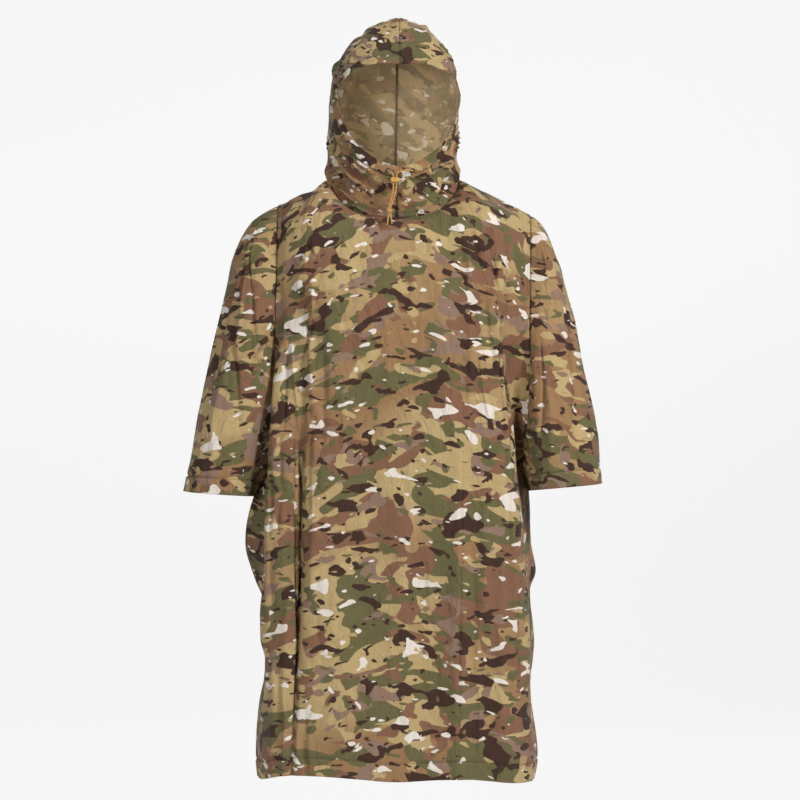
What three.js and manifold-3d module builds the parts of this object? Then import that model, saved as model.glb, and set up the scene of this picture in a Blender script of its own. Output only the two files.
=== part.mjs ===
// A hooded rain poncho with wide sleeves, in the hollow shape it has when it is worn.
// Millimetres. X is towards the wearer's left, -Y is the front, Z is up from the base of the neck.
import * as THREE from 'three';
import * as BufferGeometryUtils from 'three/addons/utils/BufferGeometryUtils.js';
import Module from 'manifold-3d';

// Driving sizes
const CLOTH = 1.5; // wall of the cloth
const SEAM_GAP = 0.3; // between two pieces sewn to each other
const SEAT = 0.3; // between a fitting and the cloth that carries it
const CHEST_Z = -110; // where the rounded shoulders end and the sections begin
const CUFF_HEM = 27;
const CORD = 2.6; // thickness of the drawcord
const MITRE = 0.72; // the wall is never thicker than its size over this at a sharp fold
const UNDERARM_STEP = 0.8; // from the body's side to the inner corner of the cuff
const UNDERARM_OPEN = 3; // half of the opening between the cuff's two inner corners
const SIDES = { right: -1, left: 1 };
const FAR_OFF = 400; // farther out than any cloth, where the lines that seat the fittings start
const MERGE = 1e-3; // corners nearer to each other than this are one

// Rows of the cloth's grid, from the shoulder down, and its columns for each stretch between two stations
const CAP_ROWS = 4;
const ARM_ROWS = 9;
const SKIRT_ROWS = 11;
const HOOD_ROWS = 11;
const SHOULDER_COLUMNS = [3, 2, 2];
const FRONT_NECK_COLUMNS = [2, 2, 2, 2, 2, 2, 2];
const BACK_NECK_COLUMNS = [2, 3, 3, 2, 3, 3, 2];
const SLEEVE_COLUMNS = [3, 2, 2, 2, 2, 2, 3];

// Rows of a table, each given by the values of its named columns
const table = (columns, rows) => rows.map((row) => (
  Object.fromEntries(columns.map((name, k) => [name, row[k]]))
));

// The ridge of each shoulder and the outer fold of the sleeve below it, from the neck to the cuff
const RIDGE = {
  right: table(['z', 'out'], [
    [33, 110], [17, 130], [8, 163], [-6, 192], [-12, 206], [-37, 244], [-56, 259],
    [-79, 271], [-110, 283], [-166, 292], [-245, 306], [-367, 330], [-441, 347], [-507, 361],
  ]),
  left: table(['z', 'out'], [
    [33, 110], [21, 135], [7, 164], [-7, 192], [-29, 237], [-49, 259], [-68, 270],
    [-96, 281], [-124, 292], [-192, 302], [-261, 316], [-350, 333], [-423, 348], [-493, 354],
  ]),
};
// Tip of each shoulder seam, the underarm and the outer end of the cuff
const TIP = { right: { out: 206, z: -12 }, left: { out: 237, z: -29 } };
const UNDERARM = { right: { out: 247, z: -518 }, left: { out: 234, z: -509 } };
const CUFF_Z = { right: -507, left: -493 };

// Front sections, each station as [outwards, forwards]: the seam or side edge, the recess beside it, the edge
// of the fold, the pleat, the groove beside it and the flat face
const FRONT_STATIONS = ['z', 'seam', 'recess', 'edge', 'pleat', 'groove', 'face'];
const FRONT = {
  right: table(FRONT_STATIONS, [
    [-110, [203, 70], [193, 84], [181, 94], [166, 104], [150, 111], [125, 117]],
    [-200, [206, 84], [197, 94], [186, 104], [170, 113], [154, 120], [126, 128]],
    [-300, [208, 70], [202, 84], [206, 106], [180, 120], [160, 124], [131, 134]],
    [-400, [206, 48], [198, 66], [214, 112], [178, 126], [160, 120], [136, 139]],
    [-470, [216, 22], [197, 58], [219, 116], [173, 130], [160, 104], [141, 142]],
    [-518, [247, 0], [200, 54], [222, 118], [169, 132], [160, 92], [144, 144]],
    [-600, [262, 0], [204, 54], [224, 119], [168, 133], [160, 88], [147, 147]],
    [-660, [246, 0], [206, 58], [225, 119], [169, 134], [161, 94], [148, 149]],
    [-705, [228, 0], [212, 62], [227, 118], [171, 136], [162, 106], [149, 150]],
    [-760, [228, 0], [220, 58], [225, 114], [173, 138], [164, 118], [150, 152]],
    [-795, [220, 0], [218, 56], [218, 114], [175, 140], [166, 124], [151, 153]],
    [-880, [237, 0], [229, 58], [219, 116], [180, 143], [169, 134], [152, 155]],
    [-960, [242, 0], [235, 60], [220, 118], [186, 146], [174, 143], [153, 157]],
    [-1020, [237, 0], [232, 64], [218, 120], [190, 147], [176, 150], [152, 159]],
  ]),
  left: table(FRONT_STATIONS, [
    [-110, [234, 56], [214, 78], [190, 106], [168, 114], [140, 118], [112, 121]],
    [-200, [233, 78], [206, 94], [176, 128], [158, 133], [134, 134], [110, 134]],
    [-300, [232, 88], [206, 72], [193, 130], [166, 138], [138, 139], [112, 140]],
    [-400, [228, 76], [210, 56], [208, 128], [172, 140], [142, 143], [114, 144]],
    [-470, [222, 34], [210, 50], [212, 127], [176, 142], [144, 145], [115, 147]],
    [-509, [234, 0], [213, 48], [213, 127], [178, 143], [146, 147], [116, 149]],
    [-600, [238, 0], [220, 50], [217, 126], [181, 145], [148, 150], [116, 152]],
    [-650, [246, 0], [226, 50], [220, 124], [183, 146], [149, 151], [116, 153]],
    [-682, [236, 0], [227, 54], [223, 122], [185, 147], [150, 152], [115, 154]],
    [-770, [243, 0], [233, 56], [228, 120], [190, 149], [151, 154], [114, 156]],
    [-857, [236, 0], [232, 58], [229, 120], [192, 150], [152, 156], [113, 158]],
    [-960, [248, 0], [242, 64], [229, 126], [193, 153], [153, 158], [113, 160]],
    [-1020, [240, 0], [236, 66], [224, 128], [192, 154], [153, 160], [113, 162]],
  ]),
};

// Back sections, in the same way, with the seams' own places taken from the front
const BACK_STATIONS = FRONT_STATIONS.filter((name) => name !== 'seam');
const BACK = {
  right: table(BACK_STATIONS, [
    [-110, [194, 90], [182, 104], [164, 114], [146, 120], [120, 124]],
    [-200, [198, 102], [188, 118], [170, 130], [150, 134], [122, 138]],
    [-300, [200, 92], [198, 122], [176, 138], [154, 136], [126, 146]],
    [-400, [198, 72], [208, 122], [178, 144], [158, 134], [130, 150]],
    [-518, [202, 58], [214, 122], [178, 148], [160, 130], [134, 152]],
    [-700, [212, 62], [216, 124], [180, 150], [160, 136], [136, 156]],
    [-860, [226, 64], [216, 128], [182, 152], [160, 148], [136, 160]],
    [-1020, [232, 68], [214, 134], [184, 156], [160, 160], [134, 166]],
  ]),
  left: table(BACK_STATIONS, [
    [-110, [216, 82], [194, 104], [170, 116], [144, 122], [116, 125]],
    [-200, [212, 98], [192, 122], [168, 132], [146, 136], [120, 139]],
    [-300, [208, 84], [200, 126], [174, 138], [150, 140], [122, 145]],
    [-400, [209, 68], [208, 126], [176, 144], [152, 142], [124, 149]],
    [-509, [214, 58], [212, 126], [178, 148], [154, 144], [126, 152]],
    [-700, [228, 60], [218, 126], [182, 150], [154, 142], [126, 156]],
    [-860, [232, 64], [222, 128], [186, 152], [154, 150], [126, 160]],
    [-1020, [236, 70], [218, 134], [188, 156], [154, 160], [126, 165]],
  ]),
};

// The middle of the front and the back. The stations beside it lie a little lower than it.
const MIDDLE_X = 70;
const MIDDLE_DROP = 2;
const MIDDLE = table(['z', 'front', 'back'], [
  [-110, 121, 118], [-200, 138, 130], [-300, 144, 140], [-400, 148, 146], [-520, 152, 151],
  [-700, 157, 157], [-860, 161, 162], [-1020, 165, 168],
]);

// Sleeve sections: the inner edge of the fold, the front face, the outer corner, and the same at the back
const SLEEVE_STATIONS = ['z', 'inner', 'front', 'corner', 'backInner', 'backFace', 'backCorner'];
const SLEEVE = {
  right: table(SLEEVE_STATIONS, [
    [-110, [232, 78], [256, 72], [277, 46], [230, 84], [256, 80], [277, 50]],
    [-200, [226, 102], [262, 98], [296, 62], [228, 104], [264, 102], [296, 64]],
    [-300, [220, 108], [274, 112], [314, 72], [228, 110], [276, 114], [314, 74]],
    [-400, [238, 106], [290, 120], [335, 80], [240, 108], [292, 122], [335, 80]],
    [-470, [246, 102], [300, 124], [348, 84], [248, 104], [304, 124], [348, 84]],
    [-518, [249, 98], [306, 126], [357, 86], [252, 100], [310, 126], [357, 86]],
  ]),
  left: table(SLEEVE_STATIONS, [
    [-110, [248, 62], [264, 62], [280, 42], [248, 70], [264, 68], [280, 46]],
    [-200, [246, 90], [270, 88], [300, 58], [246, 92], [270, 92], [300, 60]],
    [-300, [242, 102], [280, 106], [317, 70], [244, 104], [284, 108], [317, 72]],
    [-400, [238, 108], [290, 118], [338, 78], [242, 108], [294, 118], [338, 78]],
    [-470, [238, 104], [296, 122], [348, 82], [244, 104], [300, 122], [348, 82]],
    [-509, [238, 98], [296, 124], [351, 84], [246, 100], [302, 124], [351, 84]],
  ]),
};

// Height of the hem across the front and the back, from the wearer's right to the left
const HEM = table(['across', 'front', 'back'], [
  [-240, -1005, -1005], [-190, -989, -1006], [-100, -989, -1010], [0, -997, -1008],
  [120, -993, -1010], [200, -1000, -1006], [245, -1003, -1003],
]);

// Rings of the hood, from the neck seam to the face opening. Each is given by its lowest point at the front,
// its farthest point on the centre seam, its half width on the wearer's right and left, where along it is
// widest, how square its lower and upper parts are, and how far its sides stand off the straight line between
// those two points.
const RING_SIZES = ['at', 'frontY', 'frontZ', 'seamY', 'seamZ', 'half', 'crest', 'low', 'high', 'rise'];
const HOOD = table(RING_SIZES, [
  [0.0, -80, -36, 92, 45, [110, 110], 0.465, 0.6, 0.7, 31],
  [0.18, -88, -18, 126, 120, [119, 107], 0.47, 0.75, 0.8, 14],
  [0.36, -95, 2, 136, 205, [121, 106], 0.5, 0.9, 0.95, 4],
  [0.56, -101, 22, 95, 285, [120, 106], 0.5, 1.0, 1.1, -3],
  [0.74, -105, 33, 20, 318, [118, 103], 0.52, 1.05, 1.15, -8],
  [0.88, -106, 42, -55, 297, [114, 101], 0.56, 1.15, 1.05, -16],
  [1.0, -104, 50, -112, 225, [105, 103], 0.68, 1.25, 0.6, -28],
]);
const HOOD_LEAN = 8; // how far the brim lies towards the wearer's left

const mix = (a, b, t) => a + (b - a) * t;
const clamp01 = (t) => Math.min(1, Math.max(0, t));
const soft = (t) => t * t * (3 - 2 * t);

// The table's columns at one value of its key, on smooth curves through the rows
function read(rows, key, value) {
  const rising = rows[rows.length - 1][key] > rows[0][key] ? 1 : -1;
  let i = 0;
  while (i < rows.length - 2 && (value - rows[i + 1][key]) * rising > 0) i += 1;
  const [a, b] = [rows[i], rows[i + 1]];
  const before = rows[i - 1] ?? a;
  const after = rows[i + 2] ?? b;
  const t = clamp01((value - a[key]) / (b[key] - a[key]));
  const curve = (p, q, r, s) => {
    const wide = b[key] - a[key];
    const rise = before === a ? r - q : ((r - p) * wide) / (b[key] - before[key]);
    const fall = after === b ? r - q : ((s - q) * wide) / (after[key] - a[key]);
    return q + t * rise + t * t * (3 * (r - q) - 2 * rise - fall) + t * t * t * (rise + fall - 2 * (r - q));
  };
  const out = {};
  for (const name of Object.keys(a)) {
    out[name] = Array.isArray(a[name])
      ? a[name].map((_, k) => curve(before[name][k], a[name][k], b[name][k], after[name][k]))
      : curve(before[name], a[name], b[name], after[name]);
  }
  return out;
}

// A point on the soft curve that runs past a row of stations and starts and ends on its first and last
function bend(line, place) {
  const pieces = line.length - 2;
  const i = Math.min(Math.floor(place), pieces - 1);
  const t = place - i;
  const half = (a, b) => a.map((v, k) => (v + b[k]) / 2);
  const stations = line.map((p, n) => (
    n === 0 || n > pieces ? p : p.map((v, k) => v + (v - (line[n - 1][k] + line[n + 1][k]) / 2) / 3)
  ));
  const start = i === 0 ? stations[0] : half(stations[i], stations[i + 1]);
  const end = i === pieces - 1 ? stations[i + 2] : half(stations[i + 1], stations[i + 2]);
  return start.map((v, k) => (1 - t) ** 2 * v + 2 * t * (1 - t) * stations[i + 1][k] + t * t * end[k]);
}

// The places of the columns, from how many columns each stretch has
const placesOf = (counts) => [
  0, ...counts.flatMap((n, i) => Array.from({ length: n }, (_, k) => i + (k + 1) / n)),
];

// Hood: a point on the ring at `at` (0 neck, 1 face), `turn` round it (0 front, 1 the centre seam)
function hoodPoint(side, at, turn) {
  const ring = read(HOOD, 'at', at);
  const angle = turn * Math.PI;
  const back = turn > 0.5;
  const share = back
    ? ring.crest - (1 - ring.crest) * Math.cos(angle)
    : ring.crest * (1 - Math.cos(angle));
  const out = ring.half[side === 'right' ? 0 : 1] * Math.sin(angle) ** (back ? ring.high : ring.low);
  const [dy, dz] = [ring.seamY - ring.frontY, ring.seamZ - ring.frontZ];
  const lift = (ring.rise * Math.sin(angle) ** 2) / Math.hypot(dy, dz);
  return new THREE.Vector3(
    SIDES[side] * out + HOOD_LEAN * at,
    ring.frontY + dy * share - dz * lift,
    ring.frontZ + dz * share + dy * lift,
  );
}

// Row 0 of the front or the back: the shoulder seam from the tip to the neck, then half of the neck seam
const SHOULDER = SHOULDER_COLUMNS.reduce((a, b) => a + b);
function topPoint(side, face, index, neckColumns) {
  const corner = hoodPoint(side, 0, 0.5);
  if (index >= SHOULDER) {
    const turn = 0.5 - (0.5 * (index - SHOULDER)) / neckColumns;
    return hoodPoint(side, 0, face === 'front' ? turn : 1 - turn);
  }
  const t = index / SHOULDER;
  const out = mix(TIP[side].out, Math.abs(corner.x), t);
  return new THREE.Vector3(SIDES[side] * out, corner.y * t, read(RIDGE[side], 'out', out).z);
}

// Soft folds that stand out from a panel (or sink in, with a negative depth), each on a slanted line
const FOLDS = {
  front: [
    { topX: -128, topZ: -92, endX: -172, endZ: -170, width: 16, depth: 4 },
    { topX: -134, topZ: -118, endX: -138, endZ: -240, width: 14, depth: 3 },
    { topX: -96, topZ: -60, endX: -104, endZ: -420, width: 34, depth: 5 },
    { topX: -30, topZ: -240, endX: -60, endZ: -900, width: 46, depth: -4 },
    { topX: 66, topZ: -70, endX: 98, endZ: -470, width: 30, depth: 5 },
    { topX: 140, topZ: -10, endX: 186, endZ: -110, width: 15, depth: 5 },
    { topX: 108, topZ: -380, endX: 108, endZ: -1010, width: 18, depth: 5 },
    { topX: 60, topZ: -560, endX: 44, endZ: -1010, width: 40, depth: -5 },
    { topX: -96, topZ: -620, endX: -84, endZ: -1010, width: 30, depth: 5 },
  ],
  back: [
    { topX: -100, topZ: -60, endX: -112, endZ: -520, width: 34, depth: 7 },
    { topX: -48, topZ: -260, endX: -40, endZ: -1010, width: 38, depth: -8 },
    { topX: 24, topZ: -420, endX: 30, endZ: -1010, width: 36, depth: 8 },
    { topX: 88, topZ: -60, endX: 106, endZ: -560, width: 32, depth: 7 },
    { topX: 92, topZ: -600, endX: 84, endZ: -1010, width: 26, depth: -7 },
    { topX: -96, topZ: -640, endX: -100, endZ: -1010, width: 26, depth: 7 },
  ],
};
function foldHeight(face, x, z) {
  return FOLDS[face].reduce((sum, fold) => {
    const t = (fold.topZ - z) / (fold.topZ - fold.endZ);
    const away = Math.abs(x - mix(fold.topX, fold.endX, t)) / fold.width;
    const ends = soft(clamp01(t * 4)) * (fold.endZ < -1000 ? 1 : soft(clamp01((1 - t) * 4)));
    return away < 1 && t > 0 ? sum + fold.depth * ends * (1 - away * away) ** 2 : sum;
  }, 0);
}

const LEAST_PARTING = 4;

// How far the front and the back stand apart at each side edge below the sleeves, between the press studs
const PARTED = {
  right: table(['z', 'gap'], [
    [-518, 0], [-570, 6], [-618, 0], [-705, 16], [-791, 0], [-900, 16], [-1020, 34],
  ]),
  left: table(['z', 'gap'], [
    [-509, 0], [-590, 6], [-640, 16], [-682, 0], [-770, 18], [-857, 0], [-940, 16],
    [-1020, 34],
  ]),
};

// How far down the sleeve a row lies, from 0 at the chest to 1 at the cuff; one row lies along the cuff's hem
function armLevel(row) {
  const aboveHem = 1 - CUFF_HEM / (CHEST_Z - UNDERARM.right.z);
  return row === ARM_ROWS ? 1 : (Math.max(0, row) / (ARM_ROWS - 1)) * aboveHem;
}

// One side's stations at a height, each [x, y], from the seam or side edge to the middle
function stationsAt(side, face, z) {
  const sign = face === 'front' ? -1 : 1;
  const front = read(FRONT[side], 'z', z);
  const row = face === 'front' ? front : read(BACK[side], 'z', z);
  const gap = z < UNDERARM[side].z ? read(PARTED[side], 'z', z).gap : 2 * front.seam[1];
  const edge = [front.seam[0], gap > LEAST_PARTING ? gap / 2 : 0];
  const middle = read(MIDDLE, 'z', z)[face];
  const beside = [MIDDLE_X, middle - MIDDLE_DROP];
  const outwards = [edge, row.recess, row.edge, row.pleat, row.groove, row.face, beside];
  const stations = outwards.map(([out, forwards]) => [SIDES[side] * out, sign * forwards]);
  return [...stations, [0, sign * middle]];
}
function sectionPoint(face, place, z) {
  const right = stationsAt('right', face, z);
  const left = stationsAt('left', face, z).slice(0, -1).reverse();
  const [x, y] = bend([...right, ...left], place);
  const out = foldHeight(face, x, z);
  return new THREE.Vector3(x, y + (face === 'front' ? -out : out), z);
}

// The cloth of the front or the back, as rows of points from the shoulders to the hem
function bodyRows(face) {
  const neck = face === 'front' ? FRONT_NECK_COLUMNS : BACK_NECK_COLUMNS;
  const places = placesOf([...SHOULDER_COLUMNS, ...neck, ...[...SHOULDER_COLUMNS].reverse()]);
  const halfNeck = (places.length - 1 - 2 * SHOULDER) / 2;
  const rows = [];
  for (let j = 0; j <= CAP_ROWS + ARM_ROWS + SKIRT_ROWS; j += 1) {
    rows.push(places.map((place, i) => {
      const [side, index] = i <= places.length / 2 ? ['right', i] : ['left', places.length - 1 - i];
      if (j <= CAP_ROWS) {
        const top = topPoint(side, face, index, halfNeck);
        const chest = sectionPoint(face, place, CHEST_Z);
        const angle = (j / CAP_ROWS) * (Math.PI / 2);
        const [out, down] = [Math.sin(angle), 1 - Math.cos(angle)];
        return new THREE.Vector3(
          mix(top.x, chest.x, out), mix(top.y, chest.y, out), mix(top.z, CHEST_Z, down),
        );
      }
      const across = i / (places.length - 1);
      const underarm = mix(UNDERARM.right.z, UNDERARM.left.z, across);
      if (j <= CAP_ROWS + ARM_ROWS) {
        return sectionPoint(face, place, mix(CHEST_Z, underarm, armLevel(j - CAP_ROWS)));
      }
      const end = { 0: HEM[0].across, [places.length - 1]: HEM[HEM.length - 1].across };
      const hem = read(HEM, 'across', end[i] ?? sectionPoint(face, place, HEM[0][face]).x)[face];
      return sectionPoint(face, place, mix(underarm, hem, (j - CAP_ROWS - ARM_ROWS) / SKIRT_ROWS));
    }));
  }
  return rows;
}

// One ring of a sleeve's stations, each [x, y], from the front seam round the outside to the back seam
function sleeveStations(side, seamZ, ridgeZ) {
  const row = read(SLEEVE[side], 'z', seamZ);
  const ridge = read(RIDGE[side], 'z', ridgeZ).out;
  const at = ([x, y], sign) => [SIDES[side] * x, sign * y];
  return [
    stationsAt(side, 'front', seamZ)[0], at(row.inner, -1), at(row.front, -1), at(row.corner, -1),
    at([ridge, 0], 1), at(row.backCorner, 1), at(row.backFace, 1), at(row.backInner, 1),
    stationsAt(side, 'back', seamZ)[0],
  ];
}

// The cloth of a sleeve, as rows of points from the shoulder's tip to the cuff, round from front to back
function sleeveRows(side) {
  const places = placesOf(SLEEVE_COLUMNS);
  const top = topPoint(side, 'front', 0, 1);
  const rows = [];
  for (let j = 0; j <= CAP_ROWS + ARM_ROWS; j += 1) {
    const level = armLevel(j - CAP_ROWS);
    const seamZ = mix(CHEST_Z, UNDERARM[side].z, level);
    const stations = sleeveStations(side, seamZ, mix(CHEST_Z, CUFF_Z[side], level));
    rows.push(places.map((place) => {
      const round = Math.sin((place / SLEEVE_COLUMNS.length) * Math.PI);
      const [x, y] = bend(stations, place);
      const end = mix(UNDERARM[side].z, CUFF_Z[side], round);
      if (j >= CAP_ROWS) return new THREE.Vector3(x, y, mix(CHEST_Z, end, level));
      const angle = (j / CAP_ROWS) * (Math.PI / 2);
      const z = mix(top.z, CHEST_Z, 1 - Math.cos(angle));
      const seam = mix(top.x, stations[0][0], Math.sin(angle));
      const outer = SIDES[side] * read(RIDGE[side], 'z', z).out;
      const share = (x - stations[0][0]) / (bend(stations, SLEEVE_COLUMNS.length / 2)[0] - stations[0][0]);
      return new THREE.Vector3(mix(seam, outer, share), y * Math.sin(angle), z);
    }));
  }
  const cuff = rows[rows.length - 1];
  cuff[0].add(new THREE.Vector3(SIDES[side] * UNDERARM_STEP, -UNDERARM_OPEN, 0));
  cuff[cuff.length - 1].add(new THREE.Vector3(SIDES[side] * UNDERARM_STEP, UNDERARM_OPEN, 0));
  return rows;
}

// The cloth of half of the hood, as rings of points from the neck seam to the face opening
function hoodRows(side) {
  const front = FRONT_NECK_COLUMNS.reduce((a, b) => a + b) / 2;
  const back = BACK_NECK_COLUMNS.reduce((a, b) => a + b) / 2;
  const turns = [];
  for (let i = 0; i <= front; i += 1) turns.push((0.5 * i) / front);
  for (let i = 1; i <= back; i += 1) turns.push(0.5 + (0.5 * i) / back);
  const ats = Array.from({ length: HOOD_ROWS + 1 }, (_, j) => j / HOOD_ROWS);
  return ats.map((at) => turns.map((turn) => hoodPoint(side, at, turn)));
}

// Every piece of cloth: its rows of points, whether they have to be turned for the outside to face out, and
// which of its edges are sewn to another piece
const sewn = (first, last, start, end) => ({ first, last, start, end });
const CUT = {
  front_panel: { rows: bodyRows('front'), flip: false, seams: sewn(true, false, true, true) },
  back_panel: { rows: bodyRows('back'), flip: true, seams: sewn(true, false, true, true) },
  sleeve_right: { rows: sleeveRows('right'), flip: true, seams: sewn(true, false, true, true) },
  sleeve_left: { rows: sleeveRows('left'), flip: false, seams: sewn(true, false, true, true) },
  hood_right: { rows: hoodRows('right'), flip: false, seams: sewn(true, false, true, true) },
  hood_left: { rows: hoodRows('left'), flip: true, seams: sewn(true, false, true, true) },
};

// The directions of all faces that meet at each point, over all the pieces, so that walls match at seams
const KEY_STEPS = 100; // how finely a millimetre is told apart when two pieces are matched
const keyOf = (p) => [p.x, p.y, p.z].map((v) => Math.round(v * KEY_STEPS)).join(' ');
const around = new Map();
for (const { rows, flip } of Object.values(CUT)) {
  for (let j = 0; j < rows.length - 1; j += 1) {
    for (let i = 0; i < rows[j].length - 1; i += 1) {
      const corners = [rows[j][i], rows[j][i + 1], rows[j + 1][i + 1], rows[j + 1][i]];
      const normal = corners[2].clone().sub(corners[0]).cross(corners[3].clone().sub(corners[1]));
      normal.setLength(flip ? 1 : -1);
      for (const key of new Set(corners.map(keyOf))) around.set(key, [...(around.get(key) ?? []), normal]);
    }
  }
}

// From a point on the outside to its partner on the inside, one wall away from each face that meets there
function inwards(p) {
  const faces = around.get(keyOf(p));
  const mean = faces.reduce((sum, n) => sum.add(n), new THREE.Vector3()).normalize();
  const least = Math.min(...faces.map((n) => n.dot(mean)));
  return mean.multiplyScalar(-CLOTH / Math.max(least, MITRE));
}

// A closed wall over rows of outer points. Its sewn edges are held back by half of the gap between pieces.
const LEAST_STEP = 1; // an edge shorter than this is a tip, and isn't held back
function wallOf({ rows, flip, seams }, thickness = inwards) {
  const [high, wide] = [rows.length - 1, rows[0].length - 1];
  const hold = (p, towards) => towards.clone().sub(p).setLength(SEAM_GAP / 2);
  const layers = [rows, rows.map((row) => row.map((p) => p.clone().add(thickness(p))))].map((layer) => (
    layer.map((row, j) => row.map((p, i) => {
      const q = p.clone();
      if (i === 0 && seams.start && row[1].distanceTo(p) > LEAST_STEP) q.add(hold(p, row[1]));
      if (i === wide && seams.end && row[wide - 1].distanceTo(p) > LEAST_STEP) q.add(hold(p, row[wide - 1]));
      if (j === 0 && seams.first) q.add(hold(p, layer[1][i]));
      if (j === high && seams.last) q.add(hold(p, layer[high - 1][i]));
      return q;
    }))
  ));
  const triangles = [];
  const quad = (a, b, c, d) => {
    const order = flip ? [a, d, c, b] : [a, b, c, d];
    triangles.push(order[0], order[1], order[2], order[0], order[2], order[3]);
  };
  for (let j = 0; j < high; j += 1) {
    for (let i = 0; i < wide; i += 1) {
      const [outer, inner] = layers.map((l) => [l[j][i], l[j + 1][i], l[j + 1][i + 1], l[j][i + 1]]);
      quad(...outer);
      quad(...inner.reverse());
    }
  }
  const [outer, inner] = layers;
  for (let i = 0; i < wide; i += 1) {
    quad(outer[0][i], outer[0][i + 1], inner[0][i + 1], inner[0][i]);
    quad(outer[high][i + 1], outer[high][i], inner[high][i], inner[high][i + 1]);
  }
  for (let j = 0; j < high; j += 1) {
    quad(outer[j + 1][0], outer[j][0], inner[j][0], inner[j + 1][0]);
    quad(outer[j + 1][wide], inner[j + 1][wide], inner[j][wide], outer[j][wide]);
  }
  const positions = new Float32Array(triangles.flatMap((p) => [p.x, p.y, p.z]));
  const loose = new THREE.BufferGeometry();
  loose.setAttribute('position', new THREE.BufferAttribute(positions, 3));
  return withoutSlivers(BufferGeometryUtils.mergeVertices(loose, MERGE));
}

// The same triangles without those that have two corners in one place
function withoutSlivers(geometry) {
  const index = Array.from(geometry.index.array);
  const kept = [];
  for (let i = 0; i < index.length; i += 3) {
    const [a, b, c] = index.slice(i, i + 3);
    if (a !== b && b !== c && a !== c) kept.push(a, b, c);
  }
  return geometry.setIndex(kept);
}

function material(color, roughness, metalness) {
  return new THREE.MeshStandardMaterial({ color, roughness, metalness });
}
const CLOTH_FINISH = material('#8c7f57', 0.7, 0);
const TAPE_FINISH = material('#3d3128', 0.7, 0);
const CORD_FINISH = material('#d3a03a', 0.8, 0);
const LOCK_FINISH = material('#cf9a35', 0.45, 0);
const METAL_FINISH = material('#5d5a44', 0.4, 0.8);

const poncho = new THREE.Group();
function add(name, geometry, finish) {
  const mesh = new THREE.Mesh(geometry, finish);
  mesh.name = name;
  poncho.add(mesh);
  return mesh;
}
for (const [name, cut] of Object.entries(CUT)) add(name, wallOf(cut), CLOTH_FINISH);
const named = (name) => poncho.children.find((mesh) => mesh.name === name);

// Where a straight line meets the outside of a piece: the point, and the way its face looks
function seatOn(name, from, towards) {
  const hit = new THREE.Raycaster(from, towards.clone().normalize()).intersectObject(named(name))[0];
  return { point: hit.point, normal: hit.face.normal.clone() };
}

// A closed turned fitting over its seat, from a profile of [radius, height over the seat]
function turned(profile, { point, normal }, sides = 20) {
  const outline = [...profile, profile[0]].map(([r, h]) => new THREE.Vector2(r, h));
  const lathe = bare(new THREE.LatheGeometry(outline, sides));
  const solid = withoutSlivers(BufferGeometryUtils.mergeVertices(lathe, MERGE));
  const turn = new THREE.Quaternion().setFromUnitVectors(new THREE.Vector3(0, 1, 0), normal);
  return solid.applyQuaternion(turn).translate(point.x, point.y, point.z);
}
function bare(geometry) {
  for (const name of ['normal', 'uv']) geometry.deleteAttribute(name);
  return geometry;
}

// A tape inside the hood over its centre seam, bent along the seam's two sides
const TAPE = { half: 2.4, thickness: 1, end: 0.25 };
function tapeGeometry() {
  const inner = (p) => p.clone().add(inwards(p));
  const inside = (name) => CUT[name].rows.map((row) => row.slice(-2).map(inner));
  const [right, left] = [inside('hood_right'), inside('hood_left')];
  const off = CUT.hood_left.rows.map((row) => inwards(row.at(-1)).normalize());
  const towards = (p, q) => p.clone().add(q.clone().sub(p).setLength(TAPE.half));
  const seated = left.map(([beside, seam], j) => {
    const across = [towards(seam, right[j][0]), seam, towards(seam, beside)];
    return across.map((p) => p.clone().addScaledVector(off[j], SEAT));
  });
  for (const [end, next] of [[0, 1], [seated.length - 1, seated.length - 2]]) {
    seated[end] = seated[end].map((p, i) => p.clone().lerp(seated[next][i], TAPE.end));
  }
  const rowOf = (p) => seated.findIndex((row) => row.includes(p));
  const thickness = (p) => off[rowOf(p)].clone().multiplyScalar(TAPE.thickness);
  return wallOf({ rows: seated, flip: false, seams: sewn(false, false, false, false) }, thickness);
}
add('hood_seam_tape', tapeGeometry(), TAPE_FINISH);

// The two eyelets under the face opening, where the drawcord leaves its channel
const BACKWARDS = new THREE.Vector3(0, 1, 0);
const EYELET = {
  right: -12, left: 30, z: 43, bore: 2.1, flange: 4.5, height: 1.8, clear: 0.6, slope: 0.8, sides: 16,
};
const eyelets = {};
for (const side of ['right', 'left']) {
  eyelets[side] = seatOn(`hood_${side}`, new THREE.Vector3(EYELET[side], -FAR_OFF, EYELET.z), BACKWARDS);
  const [low, high] = [EYELET.clear, EYELET.clear + EYELET.height];
  const outer = EYELET.flange - EYELET.slope;
  const profile = [[EYELET.bore, low], [EYELET.flange, low], [outer, high], [EYELET.bore, high]];
  add(`hood_eyelet_${side}`, turned(profile, eyelets[side], EYELET.sides), METAL_FINISH);
}

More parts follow.
